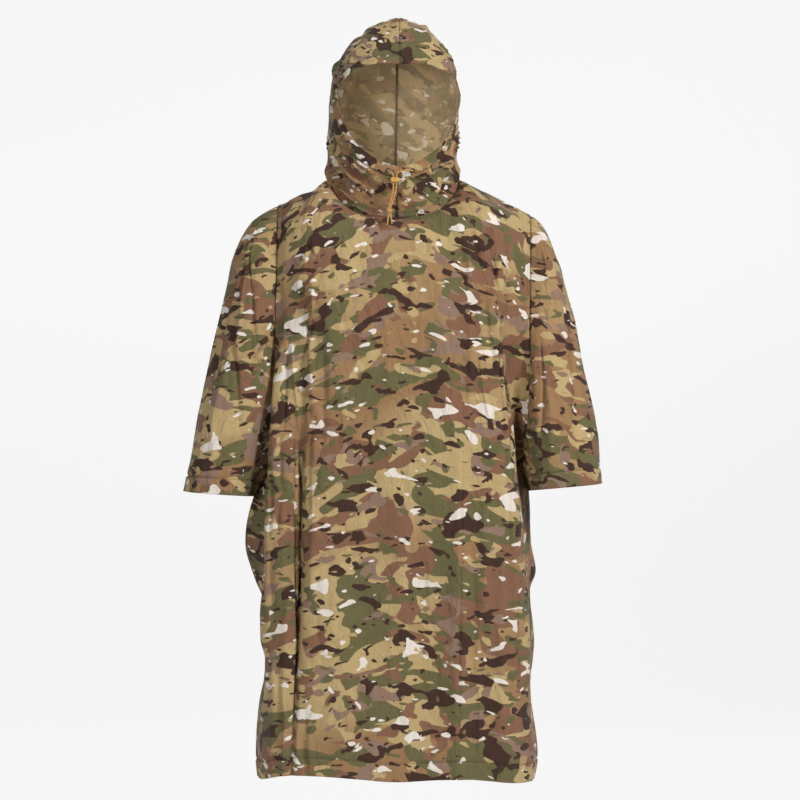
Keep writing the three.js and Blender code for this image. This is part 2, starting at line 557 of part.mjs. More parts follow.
// The drawcord's two strands: out of the eyelets, through the cord lock and the knot, to their free ends
const LOCK = { x: 0, y: -120, z: 26, width: 15, depth: 9, height: 9, bore: 1.7, round: 3.2 };
const STRAND_GAP = 2.6; // from the middle of the lock to each strand
const KNOT = { x: -9, y: -119, z: -27, width: 11, depth: 8, height: 7, round: 3 };
const KNOT_SLOT = { middle: 1.8, radius: 1.9 }; // round both strands
const BUTTON = { radius: 3.2, height: 3.2, edge: 0.8, sides: 16 };
const BLOCK_SEGMENTS = 4; // of each rounded corner
const STRANDS = {
  right: [
    [-8, -119, 39], [-4.4, -120, 37], [-2.8, -120, 34], [-2.6, -120, 31], [-2.6, -120, 20], [-3, -120, 10],
    [-6, -119.5, -5], [-9.6, -119, -18], [-10.7, -119, -23], [-10.7, -119, -31], [-11.4, -119, -38],
    [-13, -118.6, -51],
  ],
  left: [
    [22, -120, 43], [11, -121, 41], [5, -120.4, 38], [2.8, -120, 34], [2.6, -120, 31], [2.6, -120, 20],
    [2, -120, 10], [-2, -119.5, -5], [-6.2, -119, -18], [-7.3, -119, -23], [-7.3, -119, -31],
    [-6.4, -119, -38], [-5, -118.4, -49],
  ],
};
const STRAND = { lead: 4, steps: 28, sides: 4 }; // its first height over the eyelet, and how finely it is cut
for (const side of ['right', 'left']) {
  const { point, normal } = eyelets[side];
  const start = [EYELET.clear, STRAND.lead].map((h) => point.clone().addScaledVector(normal, h));
  const points = [...start, ...STRANDS[side].map((p) => new THREE.Vector3(...p))];
  const path = new THREE.CatmullRomCurve3(points, false, 'centripetal');
  const section = new THREE.Shape().absarc(0, 0, CORD / 2, 0, 2 * Math.PI);
  const tube = new THREE.ExtrudeGeometry(section, {
    steps: STRAND.steps, curveSegments: STRAND.sides, extrudePath: path,
  });
  add(`drawcord_${side}`, withoutSlivers(BufferGeometryUtils.mergeVertices(bare(tube), MERGE)), CORD_FINISH);
}

// A block with rounded corners and holes for the strands, standing on its height
function block({ x, y, z, width, depth, height, round }, holes) {
  const [w, d] = [width / 2, depth / 2];
  const outline = new THREE.Shape();
  for (const [cx, cy, turn] of [[1, 1, 0], [-1, 1, 1], [-1, -1, 2], [1, -1, 3]]) {
    const start = (turn * Math.PI) / 2;
    outline.absarc(cx * (w - round), cy * (d - round), round, start, start + Math.PI / 2);
  }
  outline.holes = holes;
  const cut = { depth: height, bevelEnabled: false, curveSegments: BLOCK_SEGMENTS };
  const solid = bare(new THREE.ExtrudeGeometry(outline, cut));
  return withoutSlivers(BufferGeometryUtils.mergeVertices(solid.translate(x, y, z - height / 2), MERGE));
}
const lockHoles = [-STRAND_GAP, STRAND_GAP].map((x) => (
  new THREE.Path().absarc(x, 0, LOCK.bore, 0, 2 * Math.PI, true)
));
add('cord_lock', block(LOCK, lockHoles), LOCK_FINISH);
const button = {
  point: new THREE.Vector3(LOCK.x + LOCK.width / 2 + SEAT, LOCK.y, LOCK.z),
  normal: new THREE.Vector3(1, 0, 0),
};
const [rim, face] = [BUTTON.radius, BUTTON.height];
add('cord_lock_button', turned([
  [0, 0], [rim, 0], [rim, face - BUTTON.edge], [rim - BUTTON.edge, face], [0, face],
], button, BUTTON.sides), LOCK_FINISH);
const slot = new THREE.Path();
slot.absarc(KNOT_SLOT.middle, 0, KNOT_SLOT.radius, -Math.PI / 2, Math.PI / 2, false);
slot.absarc(-KNOT_SLOT.middle, 0, KNOT_SLOT.radius, Math.PI / 2, 1.5 * Math.PI, false);
add('cord_knot', block(KNOT, [slot]), CORD_FINISH);

// The eyelet through the hem of the right cuff, with its two flanges round the cloth
const CUFF_EYELET = {
  column: 5, bore: 4.2, barrel: 5, hole: 5.5, flange: 6.7, slope: 0.6, plate: 0.9,
  over: 0.5, under: 0.8, sides: 24,
};
const wasm = await Module();
wasm.setup();
function solidOf(geometry) {
  const triVerts = new Uint32Array(geometry.index.array);
  const vertProperties = geometry.attributes.position.array;
  return new wasm.Manifold(new wasm.Mesh({ numProp: 3, vertProperties, triVerts }));
}
function geometryOf(solid) {
  const { vertProperties, triVerts } = solid.getMesh();
  const cut = new THREE.BufferGeometry();
  cut.setAttribute('position', new THREE.BufferAttribute(vertProperties, 3));
  return cut.setIndex(Array.from(triVerts));
}
const { column } = CUFF_EYELET;
const hem = CUT.sleeve_right.rows.slice(-2).flatMap((row) => row.slice(column, column + 2));
const middleOfHem = hem.reduce((sum, p) => sum.add(p), new THREE.Vector3()).divideScalar(hem.length);
const facing = hem[3].clone().sub(hem[0]).cross(hem[2].clone().sub(hem[1])).normalize();
if (facing.y > 0) facing.negate();
const place = { point: middleOfHem, normal: facing };
const reach = 4 * CLOTH;
const { hole, bore, barrel, flange, slope, plate, sides } = CUFF_EYELET;
const drill = turned([[0, -reach], [hole, -reach], [hole, reach], [0, reach]], place, sides);
const rightSleeve = named('sleeve_right');
rightSleeve.geometry = geometryOf(solidOf(rightSleeve.geometry).subtract(solidOf(drill)));
const [under, over] = [-CLOTH - CUFF_EYELET.under, CUFF_EYELET.over];
add('cuff_eyelet', turned([
  [bore, under - plate], [flange, under - plate], [flange, under], [barrel, under],
  [barrel, over], [flange, over], [flange - slope, over + plate], [bore, over + plate],
], place, sides), METAL_FINISH);

// The press studs that close the sides of the body, just in front of the side edges
const STUD = { radius: 5.5, top: 3.85, rim: 1, dome: 0.3, height: 2.6, clear: 0.8, forwards: -17, sides: 16 };
const STUDS = { right: [-618, -791], left: [-682, -857] };
for (const side of ['right', 'left']) {
  STUDS[side].forEach((z, i) => {
    const from = new THREE.Vector3(SIDES[side] * FAR_OFF, STUD.forwards, z);
    const seat = seatOn('front_panel', from, new THREE.Vector3(-SIDES[side], 0, 0));
    const [low, high] = [STUD.clear, STUD.clear + STUD.height];
    const cap = [
      [0, low], [STUD.radius, low], [STUD.radius, low + STUD.rim], [STUD.top, high - STUD.dome], [0, high],
    ];
    add(`side_stud_${side}_${i + 1}`, turned(cap, seat, STUD.sides), METAL_FINISH);
  });
}

export default poncho;
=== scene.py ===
# %% [markdown]
# A hooded rain poncho, hollow as it hangs when somebody wears it. The solids of the frame already have
# its true form, so this lesson gives each piece of cloth its fine folds, its hems, its stitches and its
# print, and each small fitting its finish.

# %% Start
import math

import bmesh
import bpy
import numpy as np
from mathutils import Matrix, Vector, noise


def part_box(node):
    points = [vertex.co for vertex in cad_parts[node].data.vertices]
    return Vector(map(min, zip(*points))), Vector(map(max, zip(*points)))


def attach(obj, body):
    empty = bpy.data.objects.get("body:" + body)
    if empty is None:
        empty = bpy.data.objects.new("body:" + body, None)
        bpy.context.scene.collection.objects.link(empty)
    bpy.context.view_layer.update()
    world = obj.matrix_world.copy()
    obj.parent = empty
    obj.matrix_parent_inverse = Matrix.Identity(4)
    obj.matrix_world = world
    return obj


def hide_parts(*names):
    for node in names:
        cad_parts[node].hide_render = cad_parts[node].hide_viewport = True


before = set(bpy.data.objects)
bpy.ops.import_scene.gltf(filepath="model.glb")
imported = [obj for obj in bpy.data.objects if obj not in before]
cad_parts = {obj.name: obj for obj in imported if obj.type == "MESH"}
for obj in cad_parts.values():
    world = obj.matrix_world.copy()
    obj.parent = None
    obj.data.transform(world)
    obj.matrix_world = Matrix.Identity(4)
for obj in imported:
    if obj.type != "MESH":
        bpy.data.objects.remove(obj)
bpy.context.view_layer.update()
MM = 0.001
print("nodes in the frame:", len(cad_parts))

# %% [markdown]
# The picture was taken from straight ahead with a long lens, about five metres away. A camera at half of
# the poncho's height, level, with a 129 mm lens, gives the same view.

# %% Camera
VIEW = {"distance": 5.0, "across": 0.00875, "height": -0.35, "seen": 1.4, "sensor": 36}
lens = bpy.data.cameras.new("front_view")
lens.lens = VIEW["sensor"] * VIEW["distance"] / VIEW["seen"]
camera = bpy.data.objects.new("front_view", lens)
camera.location = (VIEW["across"], -VIEW["distance"], VIEW["height"])
camera.rotation_euler = (math.pi / 2, 0, 0)
bpy.context.scene.collection.objects.link(camera)
bpy.context.scene.camera = camera
print("lens in mm:", round(lens.lens, 1))

# %% [markdown]
# Colours are written down as they are seen, from 0 to 255, and turned into the linear light that the
# shaders work with. Every finish starts from the same Principled shader, so one helper sets it up.

# %% Colours and finishes
def seen(red, green, blue):
    parts = [v / 255 for v in (red, green, blue)]
    return tuple(v / 12.92 if v <= 0.04045 else ((v + 0.055) / 1.055) ** 2.4 for v in parts) + (1.0,)


def finish(name, roughness, **sockets):
    material = bpy.data.materials.new(name)
    material.use_nodes = True
    shader = material.node_tree.nodes["Principled BSDF"]
    shader.inputs["Roughness"].default_value = roughness
    for socket, value in sockets.items():
        shader.inputs[socket.replace("_", " ")].default_value = value
    return material, material.node_tree, shader


def add_node(tree, kind, settings=(), **inputs):
    node = tree.nodes.new(kind)
    for key, value in dict(settings).items():
        setattr(node, key, value)
    for key, value in inputs.items():
        socket = node.inputs[int(key[1:])] if key[1:].isdigit() else node.inputs[key.replace("_", " ")]
        if isinstance(value, bpy.types.NodeSocket):
            tree.links.new(value, socket)
        else:
            socket.default_value = value
    return node


def figured(tree, operation, first, second):
    return add_node(tree, "ShaderNodeMath", {"operation": operation}, _0=first, _1=second).outputs[0]


def add_bump(tree, shader, height, strength, depth):
    bump = add_node(tree, "ShaderNodeBump", Strength=strength, Distance=depth, Height=height)
    tree.links.new(bump.outputs["Normal"], shader.inputs["Normal"])


# %% [markdown]
# The cloth is printed with a camouflage: hard-edged rounded blotches, wider than high. Each layer of
# blotches is a noise that is cut off at one height, so that it is either there or not, and the layers lie
# over each other as inks do: olive and brown first, then tan and mauve, then small dark ones, then a few of
# cream. The noise is read from the cloth's own flat coordinates in metres, so the print follows every fold.

# %% Print
PRINT_STRETCH = 1.7  # how much wider than high a blotch is
BLOTCH_EDGE = 0.004  # how far from the cut-off height a blotch is half there
TAN, OLIVE, BROWN = seen(178, 154, 108), seen(100, 94, 60), seen(126, 90, 67)
DARK, MAUVE, CREAM = seen(62, 40, 30), seen(136, 110, 93), seen(220, 210, 198)
GROUND = seen(146, 112, 77)
# Each layer: colour, blotches to a metre, cut-off height, how wavy its edge is, and its own seed
LAYERS = [
    (OLIVE, 9.5, 0.535, 0.9, 2.0),
    (BROWN, 10.0, 0.560, 0.9, 9.0),
    (TAN, 15.0, 0.600, 0.8, 31.0),
    (MAUVE, 16.0, 0.610, 0.8, 17.0),
    (OLIVE, 22.0, 0.625, 0.7, 43.0),
    (DARK, 21.0, 0.600, 0.8, 25.0),
    (DARK, 36.0, 0.650, 0.4, 58.0),
    (CREAM, 22.0, 0.645, 0.7, 37.0),
    (CREAM, 40.0, 0.695, 0.3, 71.0),
]


def blotches(tree, place, scale, cut, wave, seed):
    cells = add_node(
        tree, "ShaderNodeTexNoise", {"noise_dimensions": "4D"},
        Vector=place, W=seed, Scale=scale, Detail=1.7, Roughness=0.42, Distortion=wave,
    )
    return add_node(
        tree, "ShaderNodeMapRange", {"clamp": True},
        Value=cells.outputs[0], From_Min=cut - BLOTCH_EDGE, From_Max=cut + BLOTCH_EDGE,
    ).outputs["Result"]


def mixed(tree, share, under, over):
    mix = add_node(tree, "ShaderNodeMix", {"data_type": "RGBA"}, _0=share, _6=under, _7=over)
    return mix.outputs[2]


def printed(tree, place):
    spread = add_node(tree, "ShaderNodeMapping", Vector=place, Scale=(1, PRINT_STRETCH, 1)).outputs[0]
    wide = add_node(
        tree, "ShaderNodeTexNoise", {"noise_dimensions": "4D"}, Vector=spread, W=5.0, Scale=4.5, Detail=0.0
    )
    zone = add_node(
        tree, "ShaderNodeMapRange", {"clamp": True}, Value=wide.outputs[0], From_Min=0.40, From_Max=0.62
    )
    colour = mixed(tree, zone.outputs["Result"], GROUND, TAN)
    for ink, scale, cut, wave, seed in LAYERS:
        colour = mixed(tree, blotches(tree, spread, scale, cut, wave, seed), colour, ink)
    return colour


# %% [markdown]
# The cloth itself is a thin coated nylon: fairly smooth, with a weak sheen and a very fine weave, and it
# is never quite flat. Two bumps give that: the threads of the weave, and shallow crumples some centimetres
# long. The side without the print is the same cloth seen from behind, so it is paler and greyer. Light
# also comes through the cloth to that side, most in the hood, and a weak glow stands for it. The hood's
# print is read from its place in space, because flat coordinates would squeeze it at the gathered throat.

# %% Cloth
REVERSE = seen(205, 184, 146)
HOOD_GRAIN = (-math.pi / 2, 0.5, 0.35)  # how the hood's print lies, as turns round the three axes
HOOD_PRINT = 1.4
WEAVE_SCALE, WEAVE_SHARE = 600.0, 0.02
CRUMPLE_LENGTH = 2.2
BUMP = {"strength": 0.9, "depth": 0.009}


def cloth_finish(name, paleness, through=0.0, in_space=False):
    material, tree, shader = finish(
        name, 0.62, Sheen_Weight=0.02, Sheen_Roughness=0.5, Specular_IOR_Level=0.22,
    )
    place = add_node(tree, "ShaderNodeUVMap", {"uv_map": "flat"}).outputs[0]
    if in_space:
        place = add_node(tree, "ShaderNodeTexCoord").outputs["Object"]
        place = add_node(
            tree, "ShaderNodeMapping", Vector=place, Rotation=HOOD_GRAIN, Scale=(HOOD_PRINT,) * 3
        ).outputs[0]
    colour = mixed(tree, paleness, printed(tree, place), REVERSE)
    tree.links.new(colour, shader.inputs["Base Color"])
    if through:
        tree.links.new(colour, shader.inputs["Emission Color"])
        shader.inputs["Emission Strength"].default_value = through
    threads = [
        add_node(tree, "ShaderNodeTexWave", {"bands_direction": way}, Vector=place, Scale=WEAVE_SCALE)
        for way in ("X", "Y")
    ]
    weave = figured(tree, "ADD", threads[0].outputs[1], threads[1].outputs[1])
    drawn_out = add_node(tree, "ShaderNodeMapping", Vector=place, Scale=(CRUMPLE_LENGTH, 1, 1)).outputs[0]
    crumple = add_node(
        tree, "ShaderNodeTexNoise", Vector=drawn_out, Scale=26.0, Detail=4.0, Roughness=0.55, Distortion=1.1
    )
    height = figured(tree, "ADD", crumple.outputs[0], figured(tree, "MULTIPLY", weave, WEAVE_SHARE))
    add_bump(tree, shader, height, **BUMP)
    return material


CLOTH = cloth_finish("camouflage_cloth", 0.0)
LINING = cloth_finish("cloth_reverse", 0.5, 0.06)
HOOD_CLOTH = cloth_finish("hood_cloth", 0.0, in_space=True)
HOOD_LINING = cloth_finish("hood_reverse", 0.45, 0.22, in_space=True)
print("cloth finishes:", CLOTH.name, LINING.name)

# %% [markdown]
# The fittings have plain finishes: a dull olive lacquer on the eyelets and press studs, a satin yellow
# plastic on the cord lock, a dark tape over the hood's seam, and thread. The drawcord is braided, which
# two crossed waves along its length show, as bumps and as painted shade: the grooves between the strands
# are painted darker than the crests.

# %% Fittings' finishes
WORN = 0.72  # how much of its colour a worn spot keeps


def plain_finish(name, colour, roughness, grain, depth, **sockets):
    material, tree, shader = finish(name, roughness, **sockets)
    place = add_node(tree, "ShaderNodeTexCoord").outputs["Object"]
    cells = add_node(tree, "ShaderNodeTexNoise", Vector=place, Scale=grain, Detail=3.0)
    worn = add_node(
        tree, "ShaderNodeMapRange", {"clamp": True}, Value=cells.outputs[0], From_Min=0.35, From_Max=0.75
    )
    darker = tuple(v * WORN for v in colour[:3]) + (1.0,)
    tree.links.new(mixed(tree, worn.outputs["Result"], colour, darker), shader.inputs["Base Color"])
    add_bump(tree, shader, cells.outputs[0], 0.35, depth)
    return material


LACQUER = plain_finish("olive_lacquer", seen(58, 50, 34), 0.42, 900.0, 0.0002, Metallic=0.55)
PLASTIC = plain_finish("yellow_plastic", seen(186, 142, 64), 0.42, 700.0, 0.0001)
TAPE = plain_finish("seam_tape", seen(126, 104, 80), 0.6, 500.0, 0.0002)
THREAD = plain_finish("olive_thread", seen(74, 62, 40), 0.75, 2500.0, 0.0001)


BRAID_LEAN, BRAID_SCALE = 0.7, 330.0


def braid_finish():
    material, tree, shader = finish("yellow_braid", 0.72, Sheen_Weight=0.25)
    place = add_node(tree, "ShaderNodeUVMap", {"uv_map": "flat"}).outputs[0]
    turns = []
    for lean in (BRAID_LEAN, -BRAID_LEAN):
        turned = add_node(tree, "ShaderNodeMapping", Vector=place, Rotation=(0, 0, lean)).outputs[0]
        turns.append(add_node(tree, "ShaderNodeTexWave", Vector=turned, Scale=BRAID_SCALE).outputs[1])
    braid = figured(tree, "MAXIMUM", *turns)
    # The braid's colour follows its relief: painted shade in the grooves between the strands, lighter crests.
    colour = mixed(tree, braid, seen(142, 102, 40), seen(186, 142, 70))
    tree.links.new(colour, shader.inputs["Base Color"])
    add_bump(tree, shader, braid, 0.7, 0.0003)
    return material


BRAID = braid_finish()

# %% [markdown]
# One helper hides the solids that a piece stands for and puts the piece under the root.
# The others put a mesh into the scene, turn a grid of points into faces, apply a modifier and give a sheet
# its wall.

# %% Helpers for pieces
def take_in(piece, slot, *nodes):
    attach(piece, "root")
    if nodes:
        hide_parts(*nodes)
    return piece


def mesh_piece(name, corners, faces, *finishes):
    mesh = bpy.data.meshes.new(name)
    mesh.from_pydata([tuple(c) for c in corners], [], faces)
    for material in finishes:
        mesh.materials.append(material)
    piece = bpy.data.objects.new(name, mesh)
    bpy.context.scene.collection.objects.link(piece)
    return piece


def triangles(piece):
    piece.data.calc_loop_triangles()
    return len(piece.data.loop_triangles)


def grid_faces(rows, columns, flip):
    rings = [
        (a, a + columns, a + columns + 1, a + 1)
        for a in (j * columns + i for j in range(rows - 1) for i in range(columns - 1))
    ]
    return [ring[::-1] for ring in rings] if flip else rings


def start_piece():
    if bpy.context.mode != "OBJECT":
        bpy.ops.object.mode_set(mode="OBJECT")
    bpy.ops.object.select_all(action="DESELECT")


def applied(piece, modifier):
    start_piece()
    piece.select_set(True)
    bpy.context.view_layer.objects.active = piece
    bpy.ops.object.modifier_apply(modifier=modifier.name)


def walled(piece, thickness, offset, next_material=0):
    wall = piece.modifiers.new("wall", "SOLIDIFY")
    wall.thickness, wall.offset, wall.material_offset = thickness, offset, next_material
    applied(piece, wall)


def bored(piece, drill):
    bore = piece.modifiers.new("bore", "BOOLEAN")
    bore.operation, bore.object, bore.solver = "DIFFERENCE", drill, "EXACT"
    applied(piece, bore)
    bpy.data.objects.remove(drill)


# %% [markdown]
# The drawcord leaves the hood through two eyelets, runs through a cord lock and a knot, and ends free.
# Each strand is a tube swept along one smooth line through a few points. The points are the solids' own.

# %% Drawcord
CORD = 2.6 * MM
EYELETS = {"right": (-12, 43), "left": (30, 43)}
OUT_OF_EYELET = (0.6, 4)
IN_FRONT = -400
STRANDS = {
    "right": [(-8, -119, 39), (-4.4, -120, 37), (-2.8, -120, 34), (-2.6, -120, 31), (-2.6, -120, 20),
              (-3, -120, 10), (-6, -119.5, -5), (-9.6, -119, -18), (-10.7, -119, -23), (-10.7, -119, -31),
              (-11.4, -119, -38), (-13, -118.6, -51)],
    "left": [(22, -120, 43), (11, -121, 41), (5, -120.4, 38), (2.8, -120, 34), (2.6, -120, 31),
             (2.6, -120, 20), (2, -120, 10), (-2, -119.5, -5), (-6.2, -119, -18), (-7.3, -119, -23),
             (-7.3, -119, -31), (-6.4, -119, -38), (-5, -118.4, -49)],
}


def seat_on(node, start, towards):
    hit, point, normal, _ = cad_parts[node].ray_cast(Vector(start) * MM, Vector(towards))
    if not hit:
        raise ValueError(f"nothing of {node} lies that way")
    return point, normal.normalized()


def smooth_line(points, steps=8):
    p = [Vector(q) for q in points]
    p = [2 * p[0] - p[1]] + p + [2 * p[-1] - p[-2]]
    line = []
    for i in range(1, len(p) - 2):
        for k in range(steps):
            t = k / steps
            line.append(
                0.5 * (2 * p[i] + (p[i + 1] - p[i - 1]) * t
                       + (2 * p[i - 1] - 5 * p[i] + 4 * p[i + 1] - p[i + 2]) * t * t
                       + (3 * p[i] - 3 * p[i + 1] + p[i + 2] - p[i - 1]) * t ** 3)
            )
    return line + [p[-2]]


def tube(name, line, radius, material, sides=14):
    corners, faces, flat = [], [], []
    side = (line[1] - line[0]).orthogonal().normalized()
    run = 0.0
    for i, point in enumerate(line):
        ahead = (line[min(i + 1, len(line) - 1)] - line[max(i - 1, 0)]).normalized()
        side = (side - ahead * side.dot(ahead)).normalized()
        up = ahead.cross(side)
        run += (point - line[i - 1]).length if i else 0
        for k in range(sides):
            turn = 2 * math.pi * k / sides
            corners.append(point + (side * math.cos(turn) + up * math.sin(turn)) * radius)
            flat.append(run)
    for i in range(len(line) - 1):
        for k in range(sides):
            a, b = i * sides + k, i * sides + (k + 1) % sides
            faces.append((a, b, b + sides, a + sides))
    faces.append(tuple(reversed(range(sides))))
    faces.append(tuple(range(len(corners) - sides, len(corners))))
    piece = mesh_piece(name, corners, faces, material)
    layer = piece.data.uv_layers.new(name="flat")
    for face in piece.data.polygons:
        for k, loop in zip(range(4), face.loop_indices):
            corner = piece.data.loops[loop].vertex_index
            around = corner % sides + (sides if corner % sides == 0 and k in (1, 2) else 0)
            layer.data[loop].uv = (around / sides * 2 * math.pi * radius, flat[corner])
    piece.data.shade_smooth()
    return piece


STARTS = {}
for side, (across, height) in EYELETS.items():
    point, normal = seat_on(f"hood_{side}", (across, IN_FRONT, height), (0, 1, 0))
    STARTS[side] = (point, normal)
    way = [point + normal * out * MM for out in OUT_OF_EYELET] + [Vector(q) * MM for q in STRANDS[side]]
    line = smooth_line(way)
    strand = tube(f"drawcord_{side}_braid", line, CORD / 2, BRAID)
    take_in(strand, "cord", f"drawcord_{side}")

# %% [markdown]
# The cloth repeats the solids' own sections. A section is a row of stations from the seam to the middle of
# the front, and the tables give them at several heights. Sizes are in millimetres here, as in the tables.

# %% Tables of the cut
CHEST_Z = -110
SIDES = {"right": -1, "left": 1}
RIDGE = {  # height, outwards
    "right": [(33, 110), (17, 130), (8, 163), (-6, 192), (-12, 206), (-37, 244), (-56, 259), (-79, 271),
              (-110, 283), (-166, 292), (-245, 306), (-367, 330), (-441, 347), (-507, 361)],
    "left": [(33, 110), (21, 135), (7, 164), (-7, 192), (-29, 237), (-49, 259), (-68, 270), (-96, 281),
             (-124, 292), (-192, 302), (-261, 316), (-350, 333), (-423, 348), (-493, 354)],
}
TIP = {"right": (206, -12), "left": (237, -29)}
UNDERARM = {"right": (247, -518), "left": (234, -509)}
CUFF_Z = {"right": -507, "left": -493}
# Height, then outwards and forwards of: seam, recess, edge, pleat, groove, face
FRONT = {
    "right": [
        (-110, 203, 70, 193, 84, 181, 94, 166, 104, 150, 111, 125, 117),
        (-200, 206, 84, 197, 94, 186, 104, 170, 113, 154, 120, 126, 128),
        (-300, 208, 70, 202, 84, 206, 106, 180, 120, 160, 124, 131, 134),
        (-400, 206, 48, 198, 66, 214, 112, 178, 126, 160, 120, 136, 139),
        (-470, 216, 22, 197, 58, 219, 116, 173, 130, 160, 104, 141, 142),
        (-518, 247, 0, 200, 54, 222, 118, 169, 132, 160, 92, 144, 144),
        (-600, 262, 0, 204, 54, 224, 119, 168, 133, 160, 88, 147, 147),
        (-660, 246, 0, 206, 58, 225, 119, 169, 134, 161, 94, 148, 149),
        (-705, 228, 0, 212, 62, 227, 118, 171, 136, 162, 106, 149, 150),
        (-760, 228, 0, 220, 58, 225, 114, 173, 138, 164, 118, 150, 152),
        (-795, 220, 0, 218, 56, 218, 114, 175, 140, 166, 124, 151, 153),
        (-880, 237, 0, 229, 58, 219, 116, 180, 143, 169, 134, 152, 155),
        (-960, 242, 0, 235, 60, 220, 118, 186, 146, 174, 143, 153, 157),
        (-1020, 237, 0, 232, 64, 218, 120, 190, 147, 176, 150, 152, 159),
    ],
    "left": [
        (-110, 234, 56, 214, 78, 190, 106, 168, 114, 140, 118, 112, 121),
        (-200, 233, 78, 206, 94, 176, 128, 158, 133, 134, 134, 110, 134),
        (-300, 232, 88, 206, 72, 193, 130, 166, 138, 138, 139, 112, 140),
        (-400, 228, 76, 210, 56, 208, 128, 172, 140, 142, 143, 114, 144),
        (-470, 222, 34, 210, 50, 212, 127, 176, 142, 144, 145, 115, 147),
        (-509, 234, 0, 213, 48, 213, 127, 178, 143, 146, 147, 116, 149),
        (-600, 238, 0, 220, 50, 217, 126, 181, 145, 148, 150, 116, 152),
        (-650, 246, 0, 226, 50, 220, 124, 183, 146, 149, 151, 116, 153),
        (-682, 236, 0, 227, 54, 223, 122, 185, 147, 150, 152, 115, 154),
        (-770, 243, 0, 233, 56, 228, 120, 190, 149, 151, 154, 114, 156),
        (-857, 236, 0, 232, 58, 229, 120, 192, 150, 152, 156, 113, 158),
        (-960, 248, 0, 242, 64, 229, 126, 193, 153, 153, 158, 113, 160),
        (-1020, 240, 0, 236, 66, 224, 128, 192, 154, 153, 160, 113, 162),
    ],
}
BACK = {  # the same from the recess on
    "right": [
        (-110, 194, 90, 182, 104, 164, 114, 146, 120, 120, 124),
        (-200, 198, 102, 188, 118, 170, 130, 150, 134, 122, 138),
        (-300, 200, 92, 198, 122, 176, 138, 154, 136, 126, 146),
        (-400, 198, 72, 208, 122, 178, 144, 158, 134, 130, 150),
        (-518, 202, 58, 214, 122, 178, 148, 160, 130, 134, 152),
        (-700, 212, 62, 216, 124, 180, 150, 160, 136, 136, 156),
        (-860, 226, 64, 216, 128, 182, 152, 160, 148, 136, 160),
        (-1020, 232, 68, 214, 134, 184, 156, 160, 160, 134, 166),
    ],
    "left": [
        (-110, 216, 82, 194, 104, 170, 116, 144, 122, 116, 125),
        (-200, 212, 98, 192, 122, 168, 132, 146, 136, 120, 139),
        (-300, 208, 84, 200, 126, 174, 138, 150, 140, 122, 145),
        (-400, 209, 68, 208, 126, 176, 144, 152, 142, 124, 149),
        (-509, 214, 58, 212, 126, 178, 148, 154, 144, 126, 152),
        (-700, 228, 60, 218, 126, 182, 150, 154, 142, 126, 156),
        (-860, 232, 64, 222, 128, 186, 152, 154, 150, 126, 160),
        (-1020, 236, 70, 218, 134, 188, 156, 154, 160, 126, 165),
    ],
}
MIDDLE_X = 70
MIDDLE = [  # height, front, back
    (-110, 121, 118), (-200, 138, 130), (-300, 144, 140), (-400, 148, 146), (-520, 152, 151),
    (-700, 157, 157), (-860, 161, 162), (-1020, 165, 168),
]
SLEEVE = {  # height, then inner, front, corner, and the same at the back: inner, face, corner
    "right": [
        (-110, 232, 78, 256, 72, 277, 46, 230, 84, 256, 80, 277, 50),
        (-200, 226, 102, 262, 98, 296, 62, 228, 104, 264, 102, 296, 64),
        (-300, 220, 108, 274, 112, 314, 72, 228, 110, 276, 114, 314, 74),
        (-400, 238, 106, 290, 120, 335, 80, 240, 108, 292, 122, 335, 80),
        (-470, 246, 102, 300, 124, 348, 84, 248, 104, 304, 124, 348, 84),
        (-518, 249, 98, 306, 126, 357, 86, 252, 100, 310, 126, 357, 86),
    ],
    "left": [
        (-110, 248, 62, 264, 62, 280, 42, 248, 70, 264, 68, 280, 46),
        (-200, 246, 90, 270, 88, 300, 58, 246, 92, 270, 92, 300, 60),
        (-300, 242, 102, 280, 106, 317, 70, 244, 104, 284, 108, 317, 72),
        (-400, 238, 108, 290, 118, 338, 78, 242, 108, 294, 118, 338, 78),
        (-470, 238, 104, 296, 122, 348, 82, 244, 104, 300, 122, 348, 82),
        (-509, 238, 98, 296, 124, 351, 84, 246, 100, 302, 124, 351, 84),
    ],
}
HEM = [  # across, front, back
    (-240, -1005, -1005), (-190, -989, -1006), (-100, -989, -1010), (0, -997, -1008), (120, -993, -1010),
    (200, -1000, -1006), (245, -1003, -1003),
]
PARTED = {  # height, gap between the front's and the back's side edge
    "right": [(-518, 0), (-570, 6), (-618, 0), (-705, 16), (-791, 0), (-900, 16), (-1020, 34)],
    "left": [(-509, 0), (-590, 6), (-640, 16), (-682, 0), (-770, 18), (-857, 0), (-940, 16), (-1020, 34)],
}
LEAST_PARTING = 4
# Place between neck and face, front y and z, seam y and z, half width right and left, crest, low, high, rise
HOOD = [
    (0.0, -80, -36, 92, 45, 110, 110, 0.465, 0.6, 0.7, 31),
    (0.18, -88, -18, 126, 120, 119, 107, 0.47, 0.75, 0.8, 14),
    (0.36, -95, 2, 136, 205, 121, 106, 0.5, 0.9, 0.95, 4),
    (0.56, -101, 22, 95, 285, 120, 106, 0.5, 1.0, 1.1, -3),
    (0.74, -105, 33, 20, 318, 118, 103, 0.52, 1.05, 1.15, -8),
    (0.88, -106, 42, -55, 297, 114, 101, 0.56, 1.15, 1.05, -16),
    (1.0, -104, 50, -112, 225, 105, 103, 0.68, 1.25, 0.6, -28),
]
HOOD_LEAN = 8

# %% [markdown]
# Two small tools turn the tables into surfaces. One reads a table anywhere between its rows, on a smooth
# curve. The other draws a soft curve past the stations of one section. Both work on whole arrays at once,
# because a panel has tens of thousands of points.

